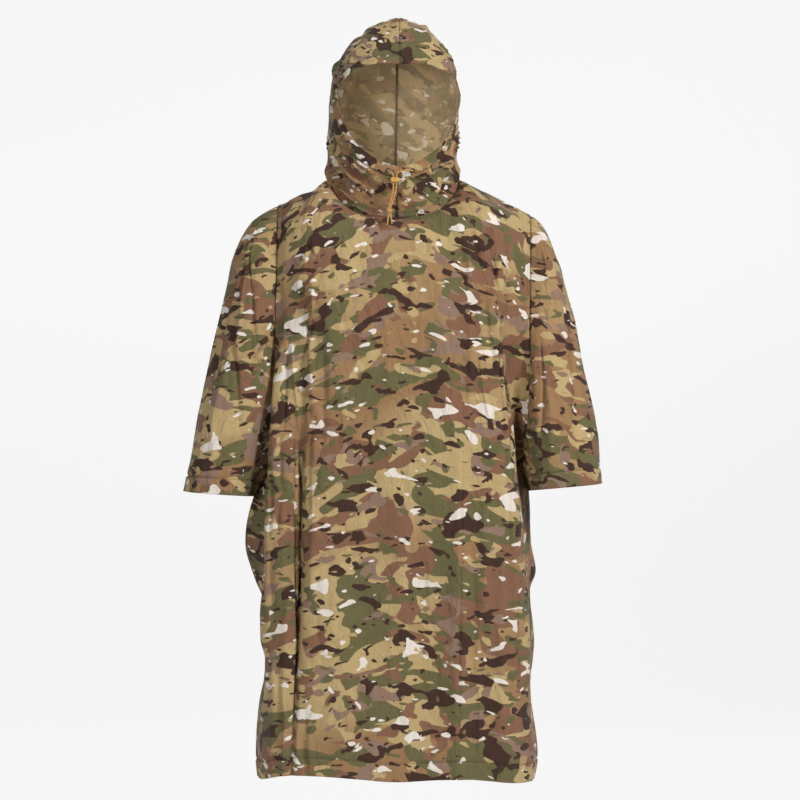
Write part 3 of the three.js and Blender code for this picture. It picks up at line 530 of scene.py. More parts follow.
# %% Reading and bending
def read(table, at):
    table = np.array(table, float)
    keys, values = table[:, 0], table[:, 1:]
    at = np.asarray(at, float)
    rising = 1 if keys[-1] > keys[0] else -1
    last = len(keys) - 1
    i = np.clip(np.searchsorted(keys * rising, at * rising) - 1, 0, last - 1)
    before, after = np.maximum(i - 1, 0), np.minimum(i + 2, last)
    low, high = values[i], values[i + 1]
    wide = (keys[i + 1] - keys[i])[..., None]
    t = np.clip((at[..., None] - keys[i][..., None]) / wide, 0, 1)
    first, final = (i == 0)[..., None], (i == last - 1)[..., None]
    step = high - low
    rise = np.where(first, step, (high - values[before]) * wide / (keys[i + 1] - keys[before])[..., None])
    fall = np.where(final, step, (values[after] - low) * wide / (keys[after] - keys[i])[..., None])
    return low + t * rise + t * t * (3 * step - 2 * rise - fall) + t ** 3 * (rise + fall - 2 * step)


def bend(line, place):
    pieces = line.shape[1] - 2
    inner = line[:, 1:-1] + (line[:, 1:-1] - (line[:, :-2] + line[:, 2:]) / 2) / 3
    line = np.concatenate([line[:, :1], inner, line[:, -1:]], axis=1)
    i = np.minimum(place.astype(int), pieces - 1)
    n = np.arange(len(place))
    middle = line[n, i + 1]
    start = np.where((i == 0)[:, None], line[:, 0], (line[n, i] + middle) / 2)
    end = np.where((i == pieces - 1)[:, None], line[:, -1], (middle + line[n, i + 2]) / 2)
    t = (place - i)[:, None]
    return (1 - t) ** 2 * start + 2 * t * (1 - t) * middle + t * t * end


def soft(t):
    t = np.clip(t, 0, 1)
    return t * t * (3 - 2 * t)


def mix(a, b, t):
    return a + (b - a) * t


# %% [markdown]
# Creases are what make it look like cloth. The deep folds are in the sections above. The finer ones are
# listed here one by one, each as a bent line across the panel with its own width and depth: a soft one swells
# up or sinks in evenly, a sharp one has a crest like pressed cloth, and a lapped one ends in a small step.
# No two are alike.

# %% Creases
# Points along the crease as (x, z), width, depth, and its crest: soft (False), sharp (True) or a lapped fold
CREASES = {
    "front": [
        ([(-128, -92), (-148, -118), (-172, -170)], 13, 4.0, False),
        ([(-134, -118), (-139, -180), (-138, -240)], 11, 3.4, False),
        ([(-96, -60), (-110, -200), (-104, -420)], 34, 5.0, False),
        ([(-30, -240), (-42, -560), (-60, -900)], 46, -4.0, False),
        ([(66, -70), (84, -240), (98, -470)], 30, 5.0, False),
        ([(140, -10), (166, -50), (186, -110)], 13, 5.5, False),
        ([(108, -380), (110, -700), (107, -1010)], 18, 4.0, False),
        ([(60, -560), (48, -800), (44, -1010)], 40, -5.0, False),
        ([(-96, -620), (-92, -800), (-84, -1010)], 30, 5.0, False),
        ([(114, -385), (111, -600), (108, -760), (106, -990)], 26, 2.2, "lap"),
        ([(115.5, -385), (112.5, -600), (109.5, -760), (107.5, -990)], 2.8, -2.5, True),
        ([(-77, -780), (-78, -850), (-76, -925)], 4, 1.4, True),
        ([(-76, -100), (-64, -170), (-58, -290)], 12, 2.2, False),
        ([(-60, -62), (-84, -110), (-120, -150)], 9, 2.0, False),
        ([(18, -80), (28, -150), (24, -260)], 14, 1.8, False),
        ([(44, -52), (70, -96), (112, -128)], 9, 2.2, False),
        ([(96, -30), (120, -84), (136, -170)], 10, 2.6, False),
        ([(150, -150), (160, -250), (176, -330)], 8, -2.4, False),
        ([(140, -240), (150, -330), (168, -420)], 7, 2.0, True),
        ([(-150, -190), (-142, -300), (-134, -400)], 9, 2.4, False),
        ([(-120, -230), (-118, -330), (-126, -470)], 8, -2.0, False),
        ([(-178, -240), (-170, -330), (-164, -450)], 7, 2.4, True),
        ([(-140, -470), (-136, -560), (-142, -690)], 8, 2.2, False),
        ([(-118, -540), (-112, -640), (-118, -760)], 12, -2.2, False),
        ([(-30, -330), (-14, -420), (-22, -540)], 16, 1.6, False),
        ([(6, -480), (14, -600), (8, -760)], 15, 2.0, False),
        ([(70, -330), (84, -420), (80, -540)], 12, -1.8, False),
        ([(150, -470), (152, -600), (150, -760)], 9, 2.2, False),
        ([(-110, -90), (-136, -140), (-166, -215)], 5, 2.6, True),
        ([(-134, -120), (-138, -170), (-136, -235)], 5, 2.4, True),
        ([(-116, -60), (-140, -84), (-176, -120)], 6, 2.4, True),
        ([(146, -8), (170, -44), (190, -96)], 5, 3.0, True),
        ([(120, -40), (140, -90), (150, -150)], 6, -2.2, True),
        ([(198, -66), (196, -160), (204, -240)], 6, -2.6, False),
        ([(-62, -130), (-44, -200), (-40, -300)], 5, 1.5, True),
        ([(34, -110), (46, -190), (40, -290)], 5, 1.5, True),
        ([(-16, -190), (-10, -270), (-18, -360)], 5, 1.3, True),
        ([(86, -180), (96, -280), (90, -380)], 5, -1.6, True),
        ([(-92, -300), (-84, -380), (-92, -480)], 6, 1.8, True),
        ([(20, -360), (28, -440), (24, -520)], 5, 1.4, True),
        ([(-50, -470), (-56, -560), (-52, -650)], 6, 1.6, True),
        ([(64, -560), (58, -640), (62, -720)], 5, 1.6, True),
        ([(-98, -660), (-96, -740), (-100, -840)], 6, -1.8, True),
        ([(-10, -700), (-6, -790), (-12, -880)], 6, 1.6, True),
        ([(70, -760), (74, -850), (68, -940)], 5, -1.6, True),
        ([(140, -800), (144, -880), (140, -985)], 6, 2.0, True),
        ([(-152, -150), (-150, -260), (-160, -400)], 5, -2.2, True),
        ([(172, -200), (180, -320), (190, -470)], 6, -2.4, True),
        ([(-190, -820), (-186, -900), (-192, -990)], 5, 2.0, True),
        ([(124, -200), (130, -300), (120, -420)], 8, 2.0, False),
        ([(132, -560), (134, -700), (130, -880)], 8, -2.0, False),
        ([(-40, -800), (-34, -900), (-36, -1000)], 14, 2.0, False),
        ([(24, -840), (22, -930), (26, -1000)], 12, 2.4, False),
        ([(176, -700), (180, -800), (178, -960)], 8, 2.2, False),
        ([(-196, -470), (-190, -600), (-192, -720)], 7, 2.2, True),
        ([(-206, -560), (-212, -640), (-206, -740)], 6, -2.0, False),
        ([(-178, -640), (-186, -760), (-190, -900)], 9, 2.0, False),
        ([(-210, -760), (-204, -860), (-212, -960)], 8, 2.2, False),
        ([(-150, -860), (-156, -930), (-150, -1000)], 9, -2.2, False),
        ([(200, -560), (206, -680), (202, -800)], 7, 2.0, True),
        ([(214, -640), (212, -740), (220, -860)], 6, -1.8, False),
        ([(112, -48), (150, -74), (180, -106), (182, -150), (168, -230)], 30, 6.5, "lap"),
        ([(184, -150), (194, -260), (203, -400), (212, -560)], 11, -5.5, False),
        ([(-118, -92), (-132, -150), (-136, -210), (-160, -290), (-171, -350)], 5, -3.2, True),
        ([(-171, -330), (-168, -480), (-166, -640), (-163, -800)], 4, -3.4, True),
        ([(-72, -52), (-104, -78), (-150, -100), (-196, -132)], 6, -2.4, True),
        ([(-196, -400), (-193, -470), (-196, -560), (-190, -640)], 5, -3.0, True),
        ([(-214, -430), (-211, -520), (-216, -610)], 5, -3.0, True),
        ([(-182, -230), (-187, -330), (-190, -420)], 5, -2.8, True),
        ([(-140, -380), (-147, -470), (-141, -570)], 5, -2.6, True),
        ([(213, -330), (218, -430), (221, -540)], 5, -3.0, True),
        ([(186, -410), (194, -520), (198, -650)], 5, -2.8, True),
        ([(142, -56), (168, -108), (174, -180), (164, -250)], 4, -3.0, True),
        ([(-128, -600), (-132, -700), (-126, -820)], 6, -2.4, True),
    ],
    "back": [
        ([(-100, -60), (-112, -300), (-112, -520)], 34, 7.0, False),
        ([(-48, -260), (-40, -600), (-40, -1010)], 38, -8.0, False),
        ([(24, -420), (32, -700), (30, -1010)], 36, 8.0, False),
        ([(88, -60), (100, -300), (106, -560)], 32, 7.0, False),
        ([(92, -600), (84, -800), (84, -1010)], 26, -7.0, False),
        ([(-96, -640), (-104, -800), (-100, -1010)], 26, 7.0, False),
        ([(-70, -40), (-96, -110), (-150, -190)], 12, 3.0, False),
        ([(60, -30), (92, -96), (150, -170)], 12, 3.2, False),
        ([(-20, -60), (-24, -160), (-14, -300)], 14, 2.4, False),
        ([(30, -90), (36, -220), (28, -360)], 12, -2.2, False),
        ([(-150, -230), (-146, -360), (-156, -500)], 9, 2.6, True),
        ([(150, -200), (156, -330), (162, -480)], 9, 2.4, True),
        ([(-10, -360), (2, -520), (-6, -700)], 15, 2.4, False),
        ([(70, -330), (66, -470), (76, -600)], 11, -2.2, False),
        ([(-70, -560), (-76, -700), (-68, -860)], 9, 2.4, False),
        ([(130, -600), (136, -760), (130, -930)], 8, 2.6, True),
        ([(-140, -700), (-136, -820), (-144, -980)], 10, -2.6, False),
        ([(0, -820), (6, -920), (0, -1000)], 12, 2.6, False),
        ([(60, -840), (56, -920), (62, -1000)], 9, 2.2, False),
        ([(-190, -520), (-196, -640), (-190, -780)], 8, 2.4, False),
        ([(190, -540), (196, -680), (200, -820)], 8, 2.2, False),
    ],
}


# Narrow creases get this much of their depth, wide ones never less than the last number
CREASE_GAIN, GAIN_WIDTH, WIDE_GAIN = 3.2, 14, 1.6
LAP_STEP = 3.0
SHARP_FALL, SOFT_FALL, END_FADE = 2.2, 1.6, 3.2
OPEN_BELOW = -1000  # a crease that reaches this low runs out through the hem


def along(line, x, z):
    """How far each (x, z) lies beside a bent line, and how far along it, from 0 to 1."""
    line = np.array(line, float)
    lengths = np.hypot(*np.diff(line, axis=0).T)
    total, run = lengths.sum(), 0.0
    best = np.full(np.shape(x), np.inf)
    share = np.zeros(np.shape(x))
    for (ax, az), (bx, bz), length in zip(line, line[1:], lengths):
        t = np.clip(((x - ax) * (bx - ax) + (z - az) * (bz - az)) / length ** 2, 0, 1)
        away = np.hypot(x - mix(ax, bx, t), z - mix(az, bz, t))
        nearer = away < best
        best = np.where(nearer, away, best)
        share = np.where(nearer, (run + t * length) / total, share)
        run += length
    return best, share


def creased(creases, x, z):
    height = np.zeros(np.shape(x))
    for line, width, depth, sharp in creases:
        away, share = along(line, x, z)
        away = away / width
        form = np.exp(-SHARP_FALL * away) if sharp else np.exp(-SOFT_FALL * away ** 2)
        if sharp == "lap":
            beside = x - np.interp(z, *np.array(sorted((b, a) for a, b in line), float).T)
            form = np.exp(-np.abs(away)) * soft(-beside / LAP_STEP + 0.5)
        open_end = line[-1][1] < OPEN_BELOW
        ends = soft(share * END_FADE) * (1 if open_end else soft((1 - share) * END_FADE))
        gain = max(WIDE_GAIN, CREASE_GAIN / (1 + (width / GAIN_WIDTH) ** 2))
        height += gain * depth * form * ends
    return height


# %% [markdown]
# Between the creases, thin cloth also ripples slightly everywhere, more up and down than across. A smooth
# seeded noise of a few millimetres gives that: wide swells everywhere, and in busy places also long ridges
# and finer ones. It fades out towards the seams, so that two panels still meet where they are sewn.

# %% Ripples
WIDE_SHARE, RIDGE_SHARE, FINE_SHARE = 0.9, 0.6, 0.22
RIDGE_FALL = 2.4


def ridged(a, b, seed):
    return 1 - RIDGE_FALL * abs(noise.noise(Vector((a, b, seed))))


def rippled(u, v, depth, seed, across=24.0, down=105.0):
    heights = []
    for a, b in zip(u.ravel() / across, v.ravel() / down):
        wide = noise.noise(Vector((0.36 * a, 0.38 * b, seed)))
        ridge = ridged(a + 0.5 * b, b, seed + 9)
        fine = ridged(2.5 * a, 2.2 * b + 0.4 * a, seed + 21)
        busy = 0.5 + noise.noise(Vector((0.3 * a, 0.6 * b, seed + 33)))
        heights.append(WIDE_SHARE * wide + max(0.0, busy) * (RIDGE_SHARE * ridge + FINE_SHARE * fine))
    return depth * np.array(heights).reshape(u.shape)


# %% [markdown]
# Now the surfaces. A panel is a grid of rows, from the shoulder seam to the hem, and columns, from one side
# to the other. The rounded shoulders are quarter circles from the shoulder seam to the chest, and the
# sections take over from there.

# %% Surfaces
def hood_point(side, at, turn):
    ring = read(HOOD, at)
    front_y, front_z, seam_y, seam_z = (ring[..., k] for k in range(4))
    half = ring[..., 4 if side == "right" else 5]
    crest, low, high, rise = (ring[..., k] for k in range(6, 10))
    angle = turn * math.pi
    back = turn > 0.5
    share = np.where(back, crest - (1 - crest) * np.cos(angle), crest * (1 - np.cos(angle)))
    sine = np.clip(np.sin(angle), 0, 1)
    out = half * sine ** np.where(back, high, low)
    dy, dz = seam_y - front_y, seam_z - front_z
    lift = rise * sine ** 2 / np.hypot(dy, dz)
    y = front_y + dy * share - dz * lift
    z = front_z + dz * share + dy * lift
    return np.stack([SIDES[side] * out + HOOD_LEAN * at, y, z], axis=-1)


FORWARDS = {"front": -1, "back": 1}
BESIDE_MIDDLE = 2  # how much less the cloth stands out beside the middle


def half_section(side, face, z):
    front = read(FRONT[side], z)
    row = front[:, 2:] if face == "front" else read(BACK[side], z)
    parted = read(PARTED[side], z)[:, 0]
    gap = np.where(z < UNDERARM[side][1], parted, 2 * front[:, 1])
    edge = np.stack([front[:, 0], np.where(gap > LEAST_PARTING, gap / 2, 0)], axis=1)
    middle = read(MIDDLE, z)[:, 0 if face == "front" else 1]
    beside = np.stack([np.full_like(middle, MIDDLE_X), middle - BESIDE_MIDDLE], axis=1)
    stations = np.concatenate([edge[:, None], row.reshape(len(z), -1, 2), beside[:, None]], axis=1)
    stations = stations * [SIDES[side], FORWARDS[face]]
    centre = np.stack([np.zeros_like(middle), middle * FORWARDS[face]], axis=1)
    return np.concatenate([stations, centre[:, None]], axis=1)


def section(face, place, z):
    right, left = half_section("right", face, z), half_section("left", face, z)
    return bend(np.concatenate([right, left[:, -2::-1]], axis=1), place)


SHOULDER_PLACES, NECK_PLACES = 3, 7
BODY_PLACES = 2 * SHOULDER_PLACES + NECK_PLACES
SLEEVE_PLACES = 7
HEM_LEVEL = -1005.0


def ridge_at(side, out):
    """The height of the shoulder's ridge so far from the middle."""
    return read([(o, z) for z, o in RIDGE[side]], out)[..., 0]


def top_line(face, place):
    """The shoulder seams and the neck seam above each place of a section."""
    points = np.zeros((len(place), 3))
    for side in SIDES:
        near = place if side == "right" else BODY_PLACES - place
        t = np.clip(near / SHOULDER_PLACES, 0, 1)
        corner = hood_point(side, np.array(0.0), np.array(0.5))
        out = mix(TIP[side][0], abs(corner[0]), t)
        seam = np.stack([SIDES[side] * out, corner[1] * t, ridge_at(side, out)], axis=1)
        turn = 0.5 - np.clip(near - SHOULDER_PLACES, 0, NECK_PLACES / 2) / NECK_PLACES
        neck = hood_point(side, np.zeros_like(turn), turn if face == "front" else 1 - turn)
        here = np.where((near < SHOULDER_PLACES)[:, None], seam, neck)
        points = np.where((near <= BODY_PLACES / 2)[:, None], here, points)
    return points


def steps_down(count, dense=26, last=0.10):
    """Steps from 0 to 1 that are finer over the last part, where the hem is."""
    return np.concatenate([
        np.linspace(0, 1 - last, count - dense, endpoint=False), np.linspace(1 - last, 1, dense + 1),
    ])


def body_grid(face, columns, cap_rows, arm_rows, skirt_rows):
    place = np.linspace(0, BODY_PLACES, columns + 1)
    top = top_line(face, place)
    chest = section(face, place, np.full_like(place, CHEST_Z))
    across = place / BODY_PLACES
    underarm = mix(UNDERARM["right"][1], UNDERARM["left"][1], across)
    hem_x = section(face, place, np.full_like(place, HEM_LEVEL))[:, 0]
    hem_x[0], hem_x[-1] = HEM[0][0], HEM[-1][0]
    hem = read(HEM, hem_x)[:, 0 if face == "front" else 1]
    rows = []
    for j in range(cap_rows):
        angle = j / cap_rows * math.pi / 2
        out, down = math.sin(angle), 1 - math.cos(angle)
        rows.append(np.concatenate([mix(top[:, :2], chest, out), mix(top[:, 2:], CHEST_Z, down)], axis=1))
    heights = [mix(CHEST_Z, underarm, j / arm_rows) for j in range(arm_rows)]
    heights += [mix(underarm, hem, step) for step in steps_down(skirt_rows)]
    for z in heights:
        rows.append(np.concatenate([section(face, place, z), z[:, None]], axis=1))
    return np.array(rows)


def sleeve_section(side, places, seam_z, ridge_z):
    seam_z = np.full(places, seam_z)
    row = read(SLEEVE[side], seam_z)
    ridge = read(RIDGE[side], np.full(places, ridge_z))[:, 0]
    front, back = (half_section(side, face, seam_z)[:, :1] for face in ("front", "back"))
    sign = SIDES[side]
    ahead = row[:, :6].reshape(-1, 3, 2) * [sign, -1]
    behind = row[:, 6:].reshape(-1, 3, 2)[:, ::-1] * [sign, 1]
    fold = np.stack([sign * ridge, np.zeros_like(ridge)], axis=1)[:, None]
    return np.concatenate([front, ahead, fold, behind, back], axis=1)


def sleeve_grid(side, columns, cap_rows, arm_rows):
    place = np.linspace(0, SLEEVE_PLACES, columns + 1)
    tip_out = TIP[side][0]
    tip_z = ridge_at(side, float(tip_out))
    roundness = np.sin(place / SLEEVE_PLACES * math.pi)
    rows = []
    levels = np.concatenate([np.zeros(cap_rows), steps_down(arm_rows)])
    for j, level in enumerate(levels):
        seam_z, ridge_z = (mix(CHEST_Z, z, level) for z in (UNDERARM[side][1], CUFF_Z[side]))
        line = sleeve_section(side, len(place), seam_z, ridge_z)
        flat = bend(line, place)
        if j >= cap_rows:
            z = mix(CHEST_Z, mix(UNDERARM[side][1], CUFF_Z[side], roundness), level)
            rows.append(np.concatenate([flat, z[:, None]], axis=1))
            continue
        angle = j / cap_rows * math.pi / 2
        z = mix(tip_z, CHEST_Z, 1 - math.cos(angle))
        seam = mix(SIDES[side] * tip_out, line[0, 0, 0], math.sin(angle))
        outer = SIDES[side] * read(RIDGE[side], z)[0]
        fold = bend(line[:1], np.array([SLEEVE_PLACES / 2]))[0, 0]
        share = (flat[:, 0] - line[0, 0, 0]) / (fold - line[0, 0, 0])
        across = mix(seam, outer, share)
        rows.append(np.stack([across, flat[:, 1] * math.sin(angle), np.full_like(place, z)], axis=1))
    return np.array(rows)


def hood_grid(side, columns, ring_rows):
    turn = np.linspace(0, 1, columns + 1)
    return np.array([hood_point(side, np.full_like(turn, at), turn) for at in steps_down(ring_rows)])


# %% [markdown]
# One tool makes every piece of cloth from its grid. It measures the grid into flat coordinates, moves the
# points out along the cloth's own normals for creases, ripples, hems and seams, and then gives the sheet
# its thickness. A hem is cloth that is folded over twice, so it stands a little proud and ends in a
# pressed line where it is stitched. Cloth pulls in beside a seam, so it rises to both sides of it.

# %% Cloth pieces
WALL = 0.7 * MM
SAME_POINT = 1e-6
HEM_RISE, HEM_SLOPE, STITCH_PULL, PULL_WIDTH = 1.1, 1.5, 2.4, 1.9
SEAM_SWELL, SWELL_FROM_SEAM, SWELL_WIDTH = 1.3, 4.5, 3
NO_LENGTH = 1e-9
# Hanging cloth is drawn up towards the neck, so its print slopes on both sides of the middle
PULL_ROUND, PULL_REACH = 40, 520


def edge_lengths(grid, axis, from_end=False):
    steps = np.linalg.norm(np.diff(grid, axis=axis), axis=2)
    zero = np.zeros_like(np.take(steps, [0], axis=axis))
    if from_end:
        flipped = np.flip(steps, axis=axis)
        return np.flip(np.cumsum(np.concatenate([zero, flipped], axis=axis), axis=axis), axis=axis)
    return np.cumsum(np.concatenate([zero, steps], axis=axis), axis=axis)


def normals_of(grid, outwards):
    across = np.gradient(grid, axis=1)
    down = np.gradient(grid, axis=0)
    normal = np.cross(down, across) * outwards
    length = np.linalg.norm(normal, axis=2, keepdims=True)
    none = length < NO_LENGTH
    return np.where(none, 0, normal / np.where(none, 1, length))


def hemmed(distance, depth):
    """Extra height near a hemmed edge: doubled cloth, and the pull of the stitches at its inner line."""
    band = soft((depth - distance) / HEM_SLOPE)
    pull = np.exp(-((distance - depth) / PULL_WIDTH) ** 2)
    return HEM_RISE * band - STITCH_PULL * pull


def sewn_swell(distance):
    return SEAM_SWELL * np.exp(-((distance - SWELL_FROM_SEAM) / SWELL_WIDTH) ** 2)


def cloth_piece(name, grid, flip, flat, nodes, finishes=(CLOTH, LINING)):
    corners = (grid * MM).reshape(-1, 3)
    piece = mesh_piece(name, corners, grid_faces(*grid.shape[:2], flip), *finishes)
    layer = piece.data.uv_layers.new(name="flat")
    uv = (flat * MM).reshape(-1, 2)
    index = np.zeros(len(piece.data.loops), int)
    piece.data.loops.foreach_get("vertex_index", index)
    layer.data.foreach_set("uv", uv[index].ravel())
    work = bmesh.new()
    work.from_mesh(piece.data)
    bmesh.ops.remove_doubles(work, verts=work.verts, dist=SAME_POINT)
    work.to_mesh(piece.data)
    work.free()
    piece.data.shade_smooth()
    walled(piece, WALL, -1, 1)
    take_in(piece, "cloth", *nodes)
    print(f"{name}: {triangles(piece)} triangles")


def flat_places(grid, middle, chest_row, offset, pull=0.0):
    """Flat coordinates from the lengths along the rows, and down the columns from the level of the chest."""
    u = edge_lengths(grid, 1)
    u = u - u[:, [middle]]
    v = edge_lengths(grid, 0)
    v = v[[chest_row]] - v
    drawn = pull * np.hypot(u, PULL_ROUND) * np.exp(-np.abs(v) / PULL_REACH)
    return np.stack([u + offset[0], v + drawn + offset[1]], axis=2)


# %% [markdown]
# The front and the back hang from the shoulders. Their side edges below the sleeves are hemmed and open,
# and their lower hems are wider.

# %% Front and back
LOWER_HEM, SIDE_HEM = 30, 14
BODY = {"columns": 224, "cap_rows": 14, "arm_rows": 80, "skirt_rows": 116}
# Where each piece lies on the printed cloth, in millimetres, so that no two show the same part of it
PRINT_PLACES = {
    "front": (0.0, 0.0), "back": (1730.0, 410.0), "right": (-940.0, 260.0), "left": (940.0, 730.0),
}
BODY_RIPPLE, BODY_PULL = 3.6, 0.34
SIDE_FADE, TOP_FADE, HEM_END, SIDE_HEM_END = 22, 16, 4, 2  # how far from a seam or an end the height fades
body = {}
for face, outwards in (("front", 1), ("back", -1)):
    grid = body_grid(face, **BODY)
    normal = normals_of(grid, outwards)
    flat = flat_places(grid, BODY["columns"] // 2, BODY["cap_rows"], PRINT_PLACES[face], BODY_PULL)
    to_hem = edge_lengths(grid, 0, from_end=True)
    to_top = edge_lengths(grid, 0)
    to_side = np.minimum(edge_lengths(grid, 1), edge_lengths(grid, 1, from_end=True))
    armhole = (np.arange(grid.shape[0]) <= BODY["cap_rows"] + BODY["arm_rows"])[:, None]
    height = creased(CREASES[face], grid[..., 0], grid[..., 2])
    height += rippled(flat[..., 0], flat[..., 1], BODY_RIPPLE, 1.0)
    height = height * soft(to_side / SIDE_FADE) * soft(to_top / TOP_FADE)
    height += hemmed(to_hem, LOWER_HEM) * soft(to_side / HEM_END)
    side_hem = hemmed(to_side, SIDE_HEM) * soft(to_side / SIDE_HEM_END)
    height += np.where(armhole, sewn_swell(to_side), side_hem)
    height += sewn_swell(to_top)
    grid = grid + normal * height[..., None]
    body[face] = (grid, normal, to_hem, to_side)
    cloth_piece(f"{face}_cloth", grid, face == "back", flat, [f"{face}_panel"])

# %% [markdown]
# The sleeves are wide tubes that open out towards the cuff. Their sharp inner fold is in the sections.
# Long troughs and ridges, some soft and some sharp, run from the shoulder to the cuff, which has a wide hem.

# %% Sleeves
CUFF_HEM = 27
ARM = {"columns": 124, "cap_rows": 14, "arm_rows": 104}
# The creases as (place round the sleeve from 0 to 1, height) points, width in places, height, sharp or not
ARM_CREASES = {
    "right": [
        ([(0.30, -90), (0.34, -250), (0.33, -440)], 0.030, -4.0, False),
        ([(0.20, -60), (0.22, -200), (0.21, -330)], 0.020, 3.0, True),
        ([(0.40, -160), (0.42, -300), (0.44, -470)], 0.030, 3.0, False),
        ([(0.25, -260), (0.27, -360), (0.25, -470)], 0.018, 2.4, False),
        ([(0.18, -30), (0.24, -110), (0.30, -190)], 0.009, 2.2, True),
        ([(0.24, -45), (0.17, -130), (0.13, -228), (0.08, -350)], 0.007, -3.6, True),
        ([(0.27, -180), (0.25, -240), (0.18, -340), (0.10, -470)], 0.014, -4.6, True),
        ([(0.36, -300), (0.31, -380), (0.30, -470)], 0.010, 2.0, True),
        ([(0.14, -120), (0.15, -260), (0.13, -400)], 0.016, -2.6, False),
        ([(0.60, -100), (0.62, -280), (0.60, -440)], 0.030, -4.2, False),
        ([(0.72, -80), (0.74, -230), (0.73, -380)], 0.022, 3.2, True),
        ([(0.84, -140), (0.83, -300), (0.86, -460)], 0.018, -2.8, False),
        ([(0.52, -220), (0.50, -340), (0.52, -480)], 0.024, 2.6, False),
    ],
    "left": [
        ([(0.26, -80), (0.27, -220), (0.25, -330)], 0.022, 3.0, False),
        ([(0.34, -200), (0.30, -330), (0.22, -480)], 0.026, -4.2, False),
        ([(0.42, -120), (0.40, -280), (0.38, -470)], 0.030, 3.2, False),
        ([(0.16, -60), (0.18, -150), (0.17, -260)], 0.014, 2.4, True),
        ([(0.14, -280), (0.16, -380), (0.14, -480)], 0.018, 2.2, False),
        ([(0.16, -30), (0.22, -120), (0.26, -210)], 0.009, 2.2, True),
        ([(0.10, -220), (0.13, -330), (0.11, -450)], 0.010, -3.8, True),
        ([(0.30, -70), (0.33, -180), (0.32, -300)], 0.010, -2.2, True),
        ([(0.20, -330), (0.24, -400), (0.28, -480)], 0.009, 2.0, True),
        ([(0.58, -90), (0.60, -260), (0.62, -420)], 0.028, -4.0, False),
        ([(0.70, -120), (0.71, -280), (0.69, -450)], 0.022, 3.0, True),
        ([(0.82, -80), (0.84, -210), (0.82, -340)], 0.018, -2.6, False),
        ([(0.50, -260), (0.49, -380), (0.51, -490)], 0.022, 2.2, False),
    ],
}
AROUND = 700  # millimetres that one turn of the sleeve counts for in the table above
ARM_RIPPLE, SWELL_START = 3.4, 20
arms = {}
for side in SIDES:
    grid = sleeve_grid(side, **ARM)
    normal = normals_of(grid, SIDES[side])
    flat = flat_places(grid, ARM["columns"] // 2, ARM["cap_rows"], PRINT_PLACES[side])
    to_cuff = edge_lengths(grid, 0, from_end=True)
    to_seam = np.minimum(edge_lengths(grid, 1), edge_lengths(grid, 1, from_end=True))
    share = np.broadcast_to(np.linspace(0, 1, ARM["columns"] + 1) * AROUND, grid.shape[:2])
    lines = [
        ([(a * AROUND, z) for a, z in line], width * AROUND, depth, sharp)
        for line, width, depth, sharp in ARM_CREASES[side]
    ]
    height = creased(lines, share, grid[..., 2]) + rippled(flat[..., 0], flat[..., 1], ARM_RIPPLE, 4.0)
    height = height * soft(to_seam / SIDE_FADE) + hemmed(to_cuff, CUFF_HEM) * soft(to_seam / HEM_END)
    height += sewn_swell(to_seam) * soft(edge_lengths(grid, 0) / SWELL_START)
    grid = grid + normal * height[..., None]
    arms[side] = (grid, normal, to_cuff)
    cloth_piece(
        f"sleeve_{side}_cloth", grid, side == "right", flat, [f"sleeve_{side}"],
    )

# %% [markdown]
# The hood is two halves with one seam over the crown. Around the face, the edge is turned in as a channel
# for the drawcord, and the pull of the cord gathers it into short puckers under the chin. Bigger folds
# sweep down from the sides of the face to the front of the neck.

# %% Hood
CHANNEL = 20
RING = {"columns": 110, "ring_rows": 98}
